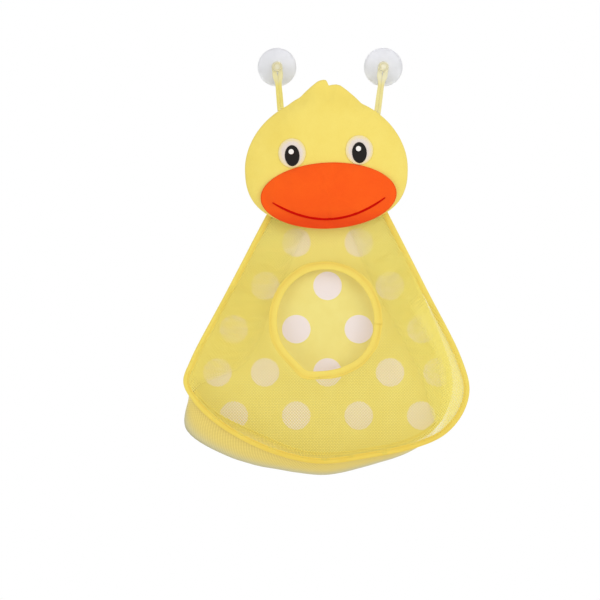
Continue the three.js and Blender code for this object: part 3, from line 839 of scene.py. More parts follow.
mesh_finish = knitted_mesh("bag_mesh", mesh_colour, mesh_deep_colour)
gusset_points, gusset_flat, gusset_turn = [], [], []
gusset_looks = {"doubled": [], "crease": [], "lit": []}
gusset_front = shifted(front_line, tape_width / 2)
gusset_back = shifted(gusset_back_line, tape_width / 2)
run_length = 0.0
for step, (near, fold, far) in enumerate(zip(gusset_front, fold_line, gusset_back)):
    run_length += (near - gusset_front[step - 1]).length if step else 0
    front_end = front_place(near.x, near.y, -gusset_gap)
    back_end = back_place(far.x, far.y, gusset_gap)
    crease = (front_place(fold.x, fold.y, -gusset_gap) + back_place(fold.x, fold.y, gusset_gap)) / 2
    pull = crease * 2 - (front_end + back_end) / 2
    width = ((crease - front_end).length + (back_end - crease).length) / MM
    drop = -near.y / bag_drop
    right = clamped(near.x / right_span) * clamped((right_low - drop) / right_low_over)
    for row in range(gusset_across + 1):
        share = row / gusset_across
        pleat = front_end.lerp(crease, share * 2) if share < 0.5 else crease.lerp(back_end, share * 2 - 1)
        bow = front_end * (1 - share) ** 2 + pull * 2 * share * (1 - share) + back_end * share ** 2
        point = pleat.lerp(bow, gusset_round)
        loose = math.sin(math.pi * share)
        wave = gusset_wave * loose * ripple(run_length, share * gusset_wave_across, gusset_wave_length, 5)
        rise = gusset_rise * ripple(run_length, 7, gusset_rise_length, 6)
        point += Vector((0, wave, wave * rise)) * MM
        gusset_points.append(point)
        gusset_flat.append((run_length, share * width))
        gusset_turn.append(1 - share)
        by_tape = clamped((tape_share - share) / tape_share_over)
        low = (drop - doubled_from - right * (right_sooner - tape_later * by_tape)) / doubled_over
        at_fold = bell(share - 0.5, fold_reach)
        # Painted light: on the right, less of the strip counts as doubled, so it shows lighter.
        lighter = right * (right_lighter - tape_darker * by_tape + fold_lighter * at_fold)
        gusset_looks["doubled"].append((1 - lighter) * clamped(low))
        gusset_looks["crease"].append(crease_depth * bell(share - 0.5, crease_reach))
        gusset_looks["lit"].append(right)
rows_across = gusset_across + 1
gusset_faces = [
    (here + k, here + k + 1, here + rows_across + k + 1, here + rows_across + k)
    for here in range(0, (len(gusset_front) - 1) * rows_across, rows_across) for k in range(gusset_across)
]
gusset_finish = knitted_mesh("gusset_mesh", gusset_painted_lighter_colour, gusset_deep_painted_lighter_colour, True)
gusset = new_piece("gusset_mesh", gusset_points, gusset_faces, gusset_finish, gusset_flat, sheet=True)
for name, values in gusset_looks.items():
    gusset.data.attributes.new(name, "FLOAT", "POINT").data.foreach_set("value", values)
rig.replaces(gusset, "gusset")
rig.slot(gusset, "mesh")
gusset_area = flat_area([Vector(place) for place in gusset_flat], gusset_faces)
gusset_width = max(place[1] for place in gusset_flat)
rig.sheet(gusset, flat=(gusset_width * MM, run_length * MM), held="folded", area=gusset_area)
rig.blend(gusset, "bag", "front", start=back_place(0, -bag_drop / 2), end=front_place(0, -bag_drop / 2))
gusset.data.attributes["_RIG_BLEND"].data.foreach_set("value", gusset_turn)

# The front panel. Knitted yellow mesh, one layer, cut to the drop shape with a round hole for the hand. It
# hangs from behind the chin of the duck and stands off the back panel further down.
opening_width = 133
opening_height = 140.6
opening_drop = 132.5
opening_shift = 1
opening_tape_width = 11
top_sag = 10.4
front_rings = 20
front_belly = 2.2
front_tape_reach = 40
front_hole_reach = 30
front_top_held = 12
front_top_reach = 80
front_wave = 1.8
front_wave_length = 42
front_crumple = 0.7
front_crumple_length = 17

# Middle line of the tape round the opening, as shares of half its size; it hangs slack at the lower left.
opening_shares = [
    (1, 0), (0.91, -0.42), (0.66, -0.74), (0.28, -0.925), (-0.14, -0.985), (-0.38, -0.97), (-0.56, -0.83),
    (-0.92, -0.40), (-1, 0.02), (-0.91, 0.42), (-0.70, 0.72), (-0.38, 0.93), (0, 1), (0.38, 0.93),
    (0.70, 0.72), (0.92, 0.40),
]

opening_middle = Vector((-bag_offset - opening_shift, -opening_drop))
opening_line = smooth_line(
    [opening_middle + Vector((x * opening_width / 2, y * opening_height / 2)) for x, y in opening_shares],
    line_steps, True)


def reach_towards(line, middle, direction):
    """Where a straight line from the middle crosses a closed line."""
    for before, after in zip(line, line[1:] + line[:1]):
        side = after - before
        turn = direction.cross(side)
        if abs(turn) < 1e-12:
            continue
        far = (before - middle).cross(side) / turn
        share = (before - middle).cross(direction) / turn
        if far > 0 and -1e-6 <= share <= 1 + 1e-6:
            return middle + direction * far
    return before


arch_left, arch_right = front_line[0], front_line[-1]
arch_low = (arch_left + arch_right) / 2 - Vector((0, top_sag * 2))
arch_steps = 24
arch = [
    arch_right * (1 - t) ** 2 + arch_low * 2 * t * (1 - t) + arch_left * t ** 2
    for t in (step / arch_steps for step in range(1, arch_steps))
]
panel_edge = shifted(front_line, tape_inside) + arch
hole_edge = shifted(opening_line, tape_inside - opening_tape_width / 2, True)
hole_points = [
    reach_towards(hole_edge, opening_middle, (corner - opening_middle).normalized()) for corner in panel_edge
]
front_points, front_faces = ring_sheet(hole_points, panel_edge, front_rings)


def front_billow(x, y):
    """How far the front mesh stands out of its plane: held at the tapes and at the top, fuller low down."""
    edge = min((Vector((x, y)) - corner).length for corner in panel_edge[::6])
    hole = abs((Vector((x, y)) - opening_middle).length - opening_width / 2)
    free = min(1, edge / front_tape_reach) * min(1, hole / front_hole_reach)
    free *= min(1, max(0, -y - front_top_held) / front_top_reach)
    waves = front_wave * ripple(x, y * 0.6, front_wave_length, 8)
    return free * (front_belly + waves + front_crumple * ripple(x, y, front_crumple_length, 9))


front_panel = new_piece(
    "front_mesh_panel_cloth",
    [front_place(x, y, front_billow(x, y)) for x, y in front_points],
    front_faces,
    mesh_finish,
    front_points,
    sheet=True,
)
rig.replaces(front_panel, "front_mesh_panel")
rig.slot(front_panel, "mesh")
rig.sheet(
    front_panel, flat=(bag_width * MM, bag_drop * MM), held="hung", area=flat_area(front_points, front_faces))
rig.ride(front_panel, "front")

# The edge tape of the front panel, the same as the one behind.
front_tape = binding("front_edge_tape", front_line, front_place, tape_finish, seed=2)
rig.replaces(front_tape, "front_binding")
front_seam = shifted(front_line, stitch_reach)
front_stitches = stitches("front_tape_stitches", front_seam, front_place, stitch_height)
for piece in (front_tape, front_stitches):
    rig.slot(piece, "tape")
    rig.ride(piece, "front")

# The tape round the hand opening. A wider tape of the same cotton, folded over the edge of the hole, with its
# two ends lapped. Its middle is drawn down by a row of stitches, and it is slack at the lower left.
opening_sway = 0.8
opening_stitch_height = 0.8
opening_colour = (255, 232, 110)
# Deep colour of the opening tape, which also carries its painted shade.
opening_deep_and_shaded_colour = (247, 216, 92)
opening_stitch_reach = 0.74 * opening_tape_width
opening_finish = tape_cloth("opening_tape_cloth", opening_colour, opening_deep_and_shaded_colour)
opening_edge = shifted(opening_line, -opening_tape_width / 2, True)
opening_tape = binding(
    "opening_tape", opening_edge, front_place, opening_finish, opening_tape_width, True, opening_sway, 4)
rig.replaces(opening_tape, "opening_binding")
opening_seam = shifted(opening_edge, opening_stitch_reach, True)
opening_stitches = stitches("opening_tape_stitches", opening_seam, front_place, opening_stitch_height, True)
for piece in (opening_tape, opening_stitches):
    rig.slot(piece, "tape")
    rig.ride(piece, "front")

# The head. Two pieces of soft short-pile cloth sewn face to face round the edge, turned and stuffed with
# loose fibre. The tuft is cut in one with them, so it is a flat, barely filled point of the seam.
head_offset = 5
head_drop = 128.5
head_width = 206
head_rise = 92.4
head_fall = 72.5
head_lean = 1.3
head_stand = 24
head_front_depth = 21.4
head_back_depth = 11.4
head_back_limit = 11.95
crown_power = 1.9
chin_power = 2.6
dome_power = 0.6
tuft_width = 96
tuft_height = 20.3
tuft_fade_power = 8
head_around = 132
head_rings = 19
head_pucker = 0.4
head_pucker_reach = 0.07
head_pucker_length = 4.6
head_lump = 0.5
head_lump_length = 33
head_lump_swell = 0.01
head_seam_height = 0.1
head_thinnest = 0.02
seam_hold_power = 30
flare_stand = 0.15
flare_deeper = 0.8
ray_start = 200
stuffing_steps = 20
stuffing_stiffness = 12
head_pile = 1.5
head_colour = (248, 227, 118)
head_shade_colour = (241, 216, 101)

# The tuft: x as a share of half its width, height as a share of its own height
tuft_shares = [
    (-1, 0), (-0.62, 0.17), (-0.34, 0.58), (-0.14, 0.93), (-0.04, 1), (0.045, 0.98), (0.075, 0.76),
    (0.1, 0.62), (0.17, 0.68), (0.27, 0.735), (0.37, 0.7), (0.62, 0.37), (0.96, 0),
]


def dome(share):
    return max(0, 1 - share * share) ** dome_power


def head_share(x, z):
    """How far out towards the head's edge a point lies, from 0 in the middle to 1 at the edge."""
    power, reach = (crown_power, head_rise) if z > 0 else (chin_power, head_fall)
    return ((abs(x) / (head_width / 2)) ** power + (abs(z) / reach) ** power) ** (1 / power)


def tuft_at(x):
    for (left, low), (right, high) in zip(tuft_shares, tuft_shares[1:]):
        left, right = left * tuft_width / 2, right * tuft_width / 2
        if left <= x < right:
            return tuft_height * (low + (high - low) * (x - left) / (right - left))
    return 0


def turned(x, z, angle):
    turn = math.radians(angle)
    return x * math.cos(turn) - z * math.sin(turn), x * math.sin(turn) + z * math.cos(turn)


def head_place(x, z, y):
    across, up = turned(x, z, head_lean)
    return Vector((across - head_offset, y, up - head_drop)) * MM


def short_pile(name, light, deep, scale=head_pile, sheen=0.2, low=None):
    """Short-pile cloth: a fine nap, faint clouds where the pile lies differently, and a soft sheen.

    Below a height in mm, the cloth may take painted shade over a span, turning to a darker colour.
    """
    material, at = new_finish(name)
    nap = mottle(at, 1000 / scale)
    fibres = node(at.tree, "ShaderNodeTexVoronoi", {"Vector": at, "Scale": 1150 / scale})
    depth = ((mottle(at, 22, 5, 0.6) - 0.5) * 1.6 + 0.5 + (nap - 0.5) * 0.5).clamped()
    colour = blended(depth, deep, light)
    if low:
        start, span, low_shade_colour = low
        colour = blended(((start - at.mm("Z")) / span).clamped(), colour, low_shade_colour)
    more = {"Sheen Weight": sheen, "Sheen Roughness": 0.4, "Specular IOR Level": 0.25}
    return surface(material, colour, 0.88 + (nap - 0.5) * 0.1, nap + fibres * 0.6, 0.3, 0.55, more)


def ring_middles(points, around, rows):
    """The middle points of the two covers of a pad, from the first ring round each."""
    return [sum(points[first:first + around], Vector()) / around for first in (0, rows * around)]


def padded_faces(around, rows):
    """Faces of a pad of two covers, from the middle of each to the seam; its two middle points are last."""
    front_middle, back_middle = (2 * rows - 1) * around, (2 * rows - 1) * around + 1
    faces = []
    for step in range(around):
        after = (step + 1) % around
        faces.append((front_middle, step, after))
        faces.append((back_middle, rows * around + after, rows * around + step))
        for row in range(rows - 1):
            here, there = row * around, (row + 1) * around
            faces.append((here + step, there + step, there + after, here + after))
        for row in range(rows, 2 * rows - 2):
            here, there = row * around, (row + 1) * around
            faces.append((here + step, here + after, there + after, there + step))
        rim, last = (rows - 1) * around, (2 * rows - 2) * around
        faces.append((rim + step, last + step, last + after, rim + after))
    return faces


def stuffed(piece, seam, pressure, growth, cap):
    """Stuffs a sewn cover: its seam is held while the cloth swells and creases under a pressure."""
    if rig.quick():
        return
    held = piece.vertex_groups.new(name="seam")
    held.add(list(seam), 1.0, "REPLACE")
    before = [corner.co.copy() for corner in piece.data.vertices]
    cloth = piece.modifiers.new("stuffing", "CLOTH")
    settings = cloth.settings
    settings.use_pressure = True
    settings.uniform_pressure_force = pressure
    settings.vertex_group_mass = "seam"
    settings.shrink_min = -growth
    settings.tension_stiffness = settings.compression_stiffness = stuffing_stiffness
    settings.effector_weights.gravity = 0
    cloth.point_cache.frame_start = 1
    cloth.point_cache.frame_end = stuffing_steps
    for frame in range(1, stuffing_steps + 1):
        scene.frame_set(frame)
    swollen = piece.evaluated_get(bpy.context.evaluated_depsgraph_get()).data
    after = [corner.co.copy() for corner in swollen.vertices]
    piece.modifiers.remove(cloth)
    piece.vertex_groups.remove(held)
    for corner, start, end in zip(piece.data.vertices, before, after):
        move = end - start
        corner.co = start + move * min(1, cap * MM / max(move.length, 1e-9))
    scene.frame_set(1)


def finished(piece):
    """Rounds a stuffed piece, and gives its surface as it was before, for what lies on it."""
    corners = [corner.co.copy() for corner in piece.data.vertices]
    cover = BVHTree.FromPolygons(corners, [tuple(face.vertices) for face in piece.data.polygons])
    rounding = piece.modifiers.new("rounding", "SUBSURF")
    rounding.levels = rounding.render_levels = 1
    return cover


def front_of(cover, x, z):
    """The y in mm where a line from the front meets a cover, at an x and z in the room."""
    met = cover.ray_cast(Vector((x, -ray_start, z)) * MM, Vector((0, 1, 0)))[0]
    return met.y / MM if met else -head_stand


def ring_shares(rings, crowding=1.6):
    """How far out the rings of a pad lie: from its middle to its edge, and closer together there."""
    return [1 - (1 - ring / rings) ** crowding for ring in range(1, rings + 1)]


head_corners = []
for step in range(head_around):
    angle = 2 * math.pi * step / head_around + math.pi / 2
    x, z = math.cos(angle), math.sin(angle)
    far = 1 / head_share(x, z)
    tuft = tuft_at(far * x) if z > 0 else 0
    head_corners.append((Vector((x * far, z * far)), Vector((x, z)), tuft))
for left, low in tuft_shares[3:11]:
    x = left * tuft_width / 2
    base = Vector((x, head_rise * (1 - (abs(x) / (head_width / 2)) ** crown_power) ** (1 / crown_power)))
    head_corners.append((base, base.normalized(), tuft_height * low))
head_corners.sort(key=lambda corner: math.atan2(-corner[0].x, -corner[0].y))

points = []
around = len(head_corners)
head_shares = ring_shares(head_rings, 1.5)
for facing, depth in ((1, head_front_depth), (-1, head_back_depth)):
    for share in head_shares if facing > 0 else head_shares[:-1]:
        for base, direction, tuft in head_corners:
            spot = base * share + direction * tuft * share ** tuft_fade_power
            near_seam = bell(1 - share, head_pucker_reach)
            held = 1 - share ** seam_hold_power
            pucker = head_pucker * near_seam * ripple(base.x, base.y, head_pucker_length, 11) * held
            lumps = head_lump * ripple(spot.x, spot.y, head_lump_length, 12 + facing) * (1 - share)
            height = head_seam_height + depth * dome(share) * (1 + head_lump_swell * lumps) + pucker + lumps
            points.append(head_place(spot.x, spot.y, -(head_stand + facing * max(head_thinnest, height))))
points += ring_middles(points, around, head_rings)
head_finish = short_pile("head_pile", head_colour, head_shade_colour)
head = new_piece("duck_head", points, padded_faces(around, head_rings), head_finish)
head_seam = range((head_rings - 1) * around, head_rings * around)
stuffed(head, head_seam, pressure=4, growth=0.02, cap=3)
for corner in head.data.vertices:
    corner.co.y = min(corner.co.y, -head_back_limit * MM)
head_cover = finished(head)
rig.replaces(head, "head_front_cover", "head_back_cover", "head_filling")
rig.slot(head, "head_cloth")
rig.padded(head, fill=0.7)
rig.ride(head, "bag")


def head_front(x, z):
    return front_of(head_cover, x, z)


def head_flare(x, z, share):
    """The front of a head that is fuller at its edge, which pieces that stand off the head follow."""
    across, up = turned(x + head_offset, z + head_drop, -head_lean)
    out = (head_front_depth + flare_deeper) * dome(share * head_share(across, up))
    return -(head_stand + flare_stand + out)


# The eyes. On each side a white oval of close cloth with a feathered edge, a black oval on it and a small
# white glint on that, each one thin patch fixed flat on the head.
face_lean = 2.6
eye_spacing = 85
eye_rise = 20.2
eye_size = (34.8, 37.4)
pupil_drop = 3.3
pupil_size = (18.6, 26.6)
glint_rise = 5
glint_shift = 1
glint_size = (6.6, 6.6)
patch_thickness = 0.6
patch_edge = 0.12
patch_around = 64
patch_rings = 9
patch_round_power = 6
curve_gap = 0.5
eye_white_colour = (240, 226, 214)
eye_edge_colour = (248, 228, 150)
pupil_colour = (20, 13, 9)
glint_colour = (255, 250, 244)
sides = {"left": -1, "right": 1}


def face_place(x, z):
    across, up = turned(x, z, face_lean)
    return across - head_offset, up - head_drop


def capped_faces(rows, around):
    """Faces of a closed skin: rows of corners in rings, and a fan to each of its two last points."""
    last_fan = [face[::-1] for face in fan(rows * around + 1, (rows - 1) * around, around)]
    return bands(rows, around) + fan(rows * around, 0, around) + last_fan


def face_patch(name, x, z, size, layer, material):
    """A thin oval patch that lies on the head, rounded down to its edge."""
    stand = curve_gap + layer * (patch_thickness + curve_gap)
    shares = ring_shares(patch_rings)

    def spot(share, c, s, top):
        px, pz = face_place(x + c * share * size[0] / 2, z + s * share * size[1] / 2)
        crown = patch_thickness * (1 - share ** patch_round_power) ** 0.5 + patch_edge if top else 0
        return Vector((px, head_front(px, pz) - stand - crown, pz)) * MM

    rings = [(share, True) for share in shares] + [(share, False) for share in reversed(shares)]
    points = [spot(share, c, s, top) for share, top in rings for c, s in circle(patch_around)]
    points += [spot(0, 0, 0, True), spot(0, 0, 0, False)]
    return new_piece(name, points, capped_faces(len(rings), patch_around), material)


def patch_cloth(name, colour, edge_colour, middle, size, feather, rough):
    """Close cloth in one colour that gives way to the colour round it over a feathered edge."""
    material, at = new_finish(name)
    turn = math.radians(face_lean)
    across, up = at.mm("X") - middle[0], at.mm("Z") - middle[1]
    along = (across * math.cos(turn) + up * math.sin(turn)) / (size[0] / 2)
    rise = (up * math.cos(turn) - across * math.sin(turn)) / (size[1] / 2)
    far = (along * along + rise * rise).math("SQRT")
    fluff = mottle(at, 420, 3)
    edge = ((far + (fluff - 0.5) * feather - (1 - feather)) / feather).clamped()
    inner = blended(mottle(at, 160, 3), tuple(value * 0.96 for value in colour), colour)
    tint = blended(edge * 0.9, inner, edge_colour)
    weave = plain_weave(at, weave_pitch) * 0.5 + fluff
    more = {"Sheen Weight": 0.05, "Specular IOR Level": 0.2}
    return surface(material, tint, rough + fluff * 0.05, weave, 0.2, 0.6, more)


for side_name, side in sides.items():
    x, pupil_z = side * eye_spacing / 2, eye_rise - pupil_drop
    looks = (
        ("eye_white", x, eye_rise, eye_size, eye_white_colour, eye_edge_colour, 0.3, 0.8, "white_cloth"),
        ("pupil", x, pupil_z, pupil_size, pupil_colour, pupil_colour, 0.2, 0.6, "black_cloth"),
        ("glint", x - glint_shift, pupil_z + glint_rise, glint_size, glint_colour, glint_colour, 0.2, 0.6,
         "white_cloth"),
    )
    for layer, (part, px, pz, size, colour, edge_colour, feather, rough, record_slot) in enumerate(looks):
        name = f"{side_name}_{part}"
        cloth = patch_cloth(name, colour, edge_colour, face_place(px, pz), size, feather, rough)
        patch = face_patch(f"{name}_patch", px, pz, size, layer, cloth)
        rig.replaces(patch, name)
        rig.slot(patch, record_slot)
        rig.ride(patch, "bag")

# The beak. A padded oval of orange cloth, two covers sewn round the edge and lightly stuffed. It is fixed to
# the head behind its middle, so its rim stands free like a lip. A turned edge runs round the seam.
beak_width = 171.6
beak_height = 82.8
beak_shift = 1.2
beak_drop = 35.5
beak_depth = 10.5
beak_flare_share = 0.85
beak_roll_power = 6
beak_around = 132
beak_rim = 0.15
beak_pucker = 0.3
beak_pucker_reach = 0.09
beak_pucker_length = 3.8
beak_lump = 0.35
beak_lump_length = 26
cover_thickness = 1
beak_edge_inset = 0.8
beak_edge_size = (1.0, 1.1)
beak_pile = 1.3
beak_edge_pile = 1.1
beak_sheen = 0.05
beak_rings = 14
beak_colour = (255, 97, 14)
beak_shade_colour = (248, 84, 10)
beak_edge_colour = (228, 78, 8)
# Painted shade: below this height in mm, over this span, the beak darkens to this colour, as the light comes from
# above.
beak_painted_shade_low = (-182, 15, (243, 72, 8))


def beak_spot(share, angle, grow=0.0):
    return face_place(
        beak_shift + math.cos(angle) * (share * beak_width / 2 + grow),
        math.sin(angle) * (share * beak_height / 2 + grow) - beak_drop,
    )


def beak_seam(x, z):
    return min(head_front(x, z), head_flare(x, z, beak_flare_share)) - curve_gap - cover_thickness


def beak_front(x, z, share):
    return beak_seam(x, z) - beak_rim - beak_depth * dome(share)


def beak_back(x, z, share):
    resting = head_front(x, z) - curve_gap
    return resting + (beak_seam(x, z) + beak_rim - resting) * share ** beak_roll_power


points = []
beak_shares = ring_shares(beak_rings)
for facing in (1, -1):
    for share in beak_shares if facing > 0 else beak_shares[:-1]:
        for step in range(beak_around):
            angle = 2 * math.pi * step / beak_around
            x, z = beak_spot(share, angle)
            near_seam = bell(1 - share, beak_pucker_reach)
            held = 1 - share ** seam_hold_power
            pucker = beak_pucker * near_seam * ripple(x, z, beak_pucker_length, 21) * held
            lumps = beak_lump * ripple(x, z, beak_lump_length, 22) * (1 - share)
            y = beak_front(x, z, share) - pucker - lumps if facing > 0 else beak_back(x, z, share)
            points.append(Vector((x, y, z)) * MM)
points += ring_middles(points, beak_around, beak_rings)
beak_finish = short_pile("beak_pile", beak_colour, beak_shade_colour, beak_pile, beak_sheen, beak_painted_shade_low)
beak = new_piece("duck_beak", points, padded_faces(beak_around, beak_rings), beak_finish)
beak_seam_steps = range((beak_rings - 1) * beak_around, len(points) - 2)
stuffed(beak, [*beak_seam_steps, len(points) - 1], pressure=3, growth=0.012, cap=2)
beak_cover = finished(beak)
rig.replaces(beak, "beak_front_cover", "beak_back_cover", "beak_filling")
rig.slot(beak, "beak_cloth")
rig.padded(beak, fill=0.6)
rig.ride(beak, "bag")


def rope(name, line, radii, material, sides=10, closed=False):
    """A flattened strand along a line in the room, in metres: radii gives its half sizes at each point."""
    points = []
    for step, (spot, along) in enumerate(zip(line, directions(line, closed))):
        across = along.cross(Vector((0, -1, 0))).normalized()
        out = across.cross(along)
        wide, thick = radii(step)
        points += [spot + across * wide * c + out * thick * s for c, s in circle(sides)]
    return new_piece(name, points, tube_faces(len(line), sides, closed), material)


edge_line = []
for step in range(beak_around * 2):
    x, z = beak_spot(1, math.pi * step / beak_around, -beak_edge_inset)
    edge_line.append(Vector((x, beak_seam(x, z), z)) * MM)
beak_edge_finish = short_pile(
    "beak_edge_pile", beak_edge_colour, beak_shade_colour, beak_edge_pile, beak_sheen)
beak_edge = rope(
    "beak_edge", edge_line, lambda step: [size * MM for size in beak_edge_size], beak_edge_finish, 8, True)
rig.slot(beak_edge, "beak_cloth")
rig.ride(beak_edge, "bag")

# The mouth. One raised line of dark red satin stitch across the beak, in a shallow arc, narrower at its two
# ends.
mouth_width = 142.4
mouth_sag = 23.8
mouth_drop = 5.7
mouth_line = 3.2
mouth_thickness = 0.8
mouth_end_share = 0.6
mouth_end_power = 8
mouth_steps = 300
mouth_ease = 9
mouth_lift = 0.2
mouth_threads = (0.07, 2.1)
mouth_raise = 0.35
mouth_slant = 0.6
mouth_thread = 0.7
mouth_colour = (233, 9, 0)
# Painted shade between the threads of the satin stitch.
mouth_thread_shade_colour = (198, 4, 0)


def satin_stitch():
    """Satin stitch: close threads that run slantwise over the line, with painted shade between them and a silky gloss.
    """
    material, at = new_finish("mouth_satin")
    threads = (at.mm("X") + at.mm("Z") * mouth_slant).waves(mouth_thread)
    colour = blended(threads * 0.5 + 0.5, mouth_thread_shade_colour, mouth_colour)
    return surface(material, colour, 0.55 - threads * 0.05, threads, 0.15, 0.8, {"Specular IOR Level": 0.05})


mouth_spots = []
for step in range(mouth_steps + 1):
    share = 2 * step / mouth_steps - 1
    dx, dz = share * mouth_width / 2, -mouth_drop - mouth_sag * (1 - share * share)
    x, z = face_place(beak_shift + dx, dz - beak_drop)
    mouth_spots.append(Vector((x, front_of(beak_cover, x, z) - mouth_raise, z)) * MM)
mouth_depths = [spot.y for spot in mouth_spots]
for step, spot in enumerate(mouth_spots):
    near = mouth_depths[max(0, step - mouth_ease):step + mouth_ease + 1]
    spot.y = min(sum(near) / len(near), mouth_depths[step] + mouth_lift * MM)


def mouth_radii(step):
    share = 2 * step / mouth_steps - 1
    narrow = 1 - mouth_end_share * abs(share) ** mouth_end_power
    thread = 1 + mouth_threads[0] * math.sin(step * mouth_threads[1])
    return mouth_line / 2 * MM * narrow * thread, mouth_thickness * MM * narrow * thread


mouth = rope("mouth_stitching", mouth_spots, mouth_radii, satin_stitch(), 12)
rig.replaces(mouth, "mouth_stitch")
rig.slot(mouth, "mouth_thread")
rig.ride(mouth, "bag")

# The two straps. Each is one narrow yellow ribbon, folded to a loop round the neck of a suction cup. Its two
# strands lie side by side below the loop and are caught together in the seam of the head.
cup_spacing = 134.8
neck_middle = -11.9
neck_radius = 3.2
strand_width = 4.2
strand_gap = 0.05
strand_step = 0.8
strand_sides = 12
shoulder_width = 6.4
loop_side_width = 3.2
loop_top_width = 1.7
strand_thickness = 1.3
loop_clear = 0.4
loop_knots = 7
loop_start = 190
loop_sweep = 200
strap_shoulder = 22
shoulder_top = 13.5
loop_entry = (4.0, 6.9, 5.6)
strap_bury = 1.4
ribbon_rib = 0.9
strand_dip = 0.12
strand_dip_length = 7
strand_powers = (0.45, 0.7)
leg_middle = 0.3
knot_steps = 10
# Painted light: from this height up, over a span, the ribbon turns lighter under the clear knob, and it is lighter on
# the right side too.
ribbon_painted_light_from = -24
ribbon_painted_light_span = 9
ribbon_colour = (250, 236, 134)
ribbon_deep_colour = (240, 220, 108)
ribbon_painted_light_colour = (247, 241, 204)


def ribbon_cloth():
    """Woven ribbon: fine ribs across its run, with painted light: lighter in its loop, where the clear knob's sheen
    lies over it, and on the right.
    """
    material, at = new_finish("strap_ribbon")
    ribs = from_points(at, "flat_cloth", "Vector").mm("X").waves(ribbon_rib)
    colour = blended(mottle(at, 110, 3), ribbon_deep_colour, ribbon_colour)
    looped = ((at.mm("Z") - ribbon_painted_light_from) / ribbon_painted_light_span).clamped()
    # Painted light: the sheen of the knob over the loop, and the light on the right strap.
    pale = looped * 0.6 + at.mm("X").math("GREATER_THAN", 0) * 0.3
    colour = blended(pale, colour, ribbon_painted_light_colour)
    return surface(material, colour, 0.66 + ribs * 0.06, ribs, 0.18, 0.7, {"Sheen Weight": 0.15})


# Each strap leaves the head's seam at its hinge, whose axis runs along the seam.
ribbon_finish = ribbon_cloth()
joints = {joint["name"]: joint for joint in frame["joints"]}
for side_name, side in sides.items():
    hinge = joints[f"{side_name}_strap_bend"]
    seat, seam = Vector(hinge["pos_m"]), Vector(hinge["axis"])
    neck = Vector((side * cup_spacing / 2, neck_middle, 0)) * MM
    up = neck - seat
    top = up.length / MM
    up.normalize()
    facing = seam.cross(up).normalized()
    across = up.cross(facing)
    lane = (strand_width + strand_gap) / 2
    low = seam.dot(up) / seam.dot(across)
    leg = [
        (lane, -strap_bury, strand_width), (lane, top * leg_middle, strand_width),
        (lane, top - strap_shoulder, strand_width),
        (shoulder_width / 2 + strand_gap, top - shoulder_top, shoulder_width),
        (loop_entry[0], top - loop_entry[1], loop_entry[2]),
    ]
    knots = [Vector((-x, y - (x * low if y < 0 else 0), girth)) for x, y, girth in leg]
    for knot in range(loop_knots):
        angle = math.radians(loop_start - knot * loop_sweep / (loop_knots - 1))
        girth = loop_side_width + (loop_top_width - loop_side_width) * max(0, math.sin(angle))
        loop = neck_radius + loop_clear + girth / 2
        knots.append(Vector((loop * math.cos(angle), top + loop * math.sin(angle), girth)))
    knots += [Vector((x, y + (x * low if y < 0 else 0), girth)) for x, y, girth in reversed(leg)]
    strand = even_line(smooth_line(knots, knot_steps), strand_step)
    points, flat = [], []
    for step, (spot, left) in enumerate(zip(strand, leftward(strand))):
        dip = strand_dip * ripple(step * strand_step, 0, strand_dip_length, 30 + side)
        for c, s in circle(strand_sides):
            wide = abs(c) ** strand_powers[0] * (1 if c > 0 else -1) * spot.z / 2
            thick = abs(s) ** strand_powers[1] * (1 if s > 0 else -1) * strand_thickness / 2
            corner = spot.xy + left * wide
            points.append(seat + (across * corner.x + up * corner.y + facing * (thick + dip)) * MM)
            flat.append((step * strand_step, wide))
    faces = tube_faces(len(strand), strand_sides)
    ribbon = new_piece(f"{side_name}_strap_ribbon", points, faces, ribbon_finish, flat)
    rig.replaces(ribbon, f"{side_name}_strap")
    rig.slot(ribbon, "ribbon")
    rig.ride(ribbon, f"{side_name}_strap")

# The two suction cups. Each is one moulding of clear, slightly hazy soft PVC: a thin lip and a bowl that lie
# on the wall, a short neck for the strap, and a round knob to the front.
cup_radius = 24.5
cup_bowl = 8.8
cup_hollow = 6.2
lip_width = 2
lip_thickness = 0.8
neck_length = 6.2
neck_fillet = 1.8
knob_radius = 6.5
knob_thickness = 4.6
knob_edge = 1.6
knob_crown = ((0, 0.25), (0.4, 0.18))
neck_chamfer = 0.5
bowl_steps = 12
lip_crest = 0.3
lip_round = 0.25
lip_heel = 0.2
cup_around = 96
pvc_colour = (240, 240, 244)
pvc_shaded_low_colour = (221, 222, 222)
knob_clear = 0.55
# Painted show-through: the yellow ribbon's tint painted into the plastic round the neck, within this radius and fading
# over this span.
painted_strap_tint_colour = (240, 232, 187)
core_radius = 8
core_fade = 3


def clear_pvc():
    """Clear soft PVC: a faintly uneven skin, greyer low down as painted shade, warmer round the neck as a painted
    show-through of the yellow ribbon, clearest in the knob.
    """
    material, at = new_finish("cup_pvc")
    flow = mottle(at, 55, 3)
    up = at.mm("Z")
    # Uneven clouds, and painted shade that greys the cup towards its bottom.
    cloud_and_shade = (up / (2 * cup_radius) + 0.5 + (flow - 0.5) * 0.5).clamped()
    colour = blended(cloud_and_shade, pvc_shaded_low_colour, pvc_colour)
    off = at.mm("X").math("ABSOLUTE") - cup_spacing / 2
    # Painted show-through of the yellow ribbon round the neck.
    painted_strap_tint = ((core_radius - (off * off + up * up).math("SQRT")) / core_fade).clamped()
    colour = blended(painted_strap_tint * 0.75, colour, painted_strap_tint_colour)
    knob = (-(cup_bowl + neck_length * 0.6) - at.mm("Y")).clamped()
    clear = {"Transmission Weight": 0.45, "IOR": 1.3, "Specular IOR Level": 0.4}
    more = {"Alpha": 1 - knob * knob_clear, **clear}
    return surface(material, colour, 0.36 + flow * 0.1, flow, 0.3, 0.25, more)


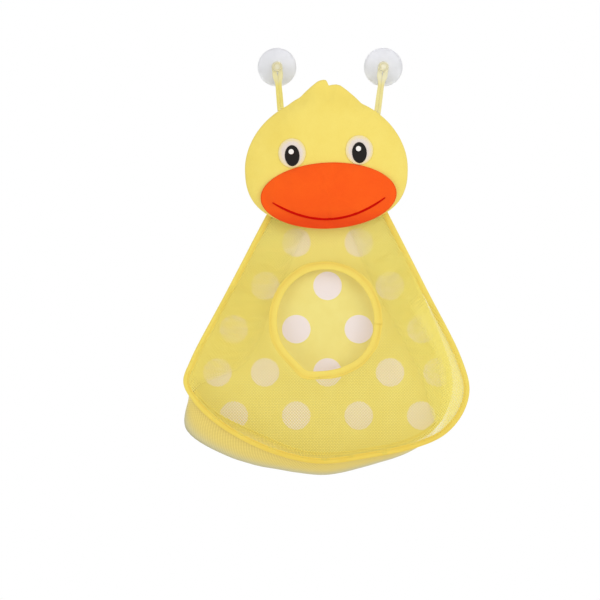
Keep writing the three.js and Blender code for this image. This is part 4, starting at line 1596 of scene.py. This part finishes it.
def cup_profile():
    """Radius and depth from the middle of the knob, over the outside to the lip, and back inside the bowl."""
    lip_inner = cup_radius - lip_width
    knob_front = -(cup_bowl + neck_length + knob_thickness)
    knob_back = knob_front + knob_thickness

    def outside(r):
        return -lip_thickness - (cup_bowl - lip_thickness) * (1 - (r / cup_radius) ** 2)

    def rounded(r, y, turn_from, turn_to, radius, steps=6):
        turns = [math.radians(turn_from + (turn_to - turn_from) * k / steps) for k in range(steps + 1)]
        return [(r + radius * math.cos(turn), y + radius * math.sin(turn)) for turn in turns]

    fillet = neck_radius + neck_fillet
    profile = [(knob_radius * share, knob_front - rise) for share, rise in knob_crown]
    profile += rounded(knob_radius - knob_edge, knob_front + knob_edge, -90, 0, knob_edge)
    profile += rounded(knob_radius - knob_edge, knob_back - knob_edge, 0, 90, knob_edge)
    profile += [(neck_radius + neck_chamfer, knob_back), (neck_radius, knob_back + neck_chamfer)]
    profile += rounded(fillet, outside(fillet) - neck_fillet, 180, 90, neck_fillet)
    shares = [k / bowl_steps for k in range(1, bowl_steps + 1)]
    bowl = [fillet + (cup_radius - lip_crest - fillet) * share for share in shares]
    profile += [(r, outside(r)) for r in bowl]
    profile += [(cup_radius, -lip_thickness + lip_round), (cup_radius, -lip_heel)]
    profile += [(cup_radius - lip_heel, 0), (lip_inner, 0)]
    profile += [(lip_inner * (1 - share), -cup_hollow * (1 - (1 - share) ** 2)) for share in shares]
    return profile


pvc_finish = clear_pvc()
profile = cup_profile()
for side_name, side in sides.items():
    middle = Vector((side * cup_spacing / 2, 0, 0))
    rings = profile[1:-1]
    points = [(middle + Vector((r * c, y, r * s))) * MM for r, y in rings for c, s in circle(cup_around)]
    points += [(middle + Vector((0, profile[end][1], 0))) * MM for end in (0, -1)]
    faces = capped_faces(len(rings), cup_around)
    cup = new_piece(f"{side_name}_suction_cup", points, faces, pvc_finish)
    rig.replaces(cup, f"{side_name}_cup")
    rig.slot(cup, "clear_pvc")
    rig.ride(cup, f"{side_name}_cup")

with open("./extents.json", "w") as kept:
    json.dump([[list(corner) for corner in box] for box in (cad_box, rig.bounds())], kept)
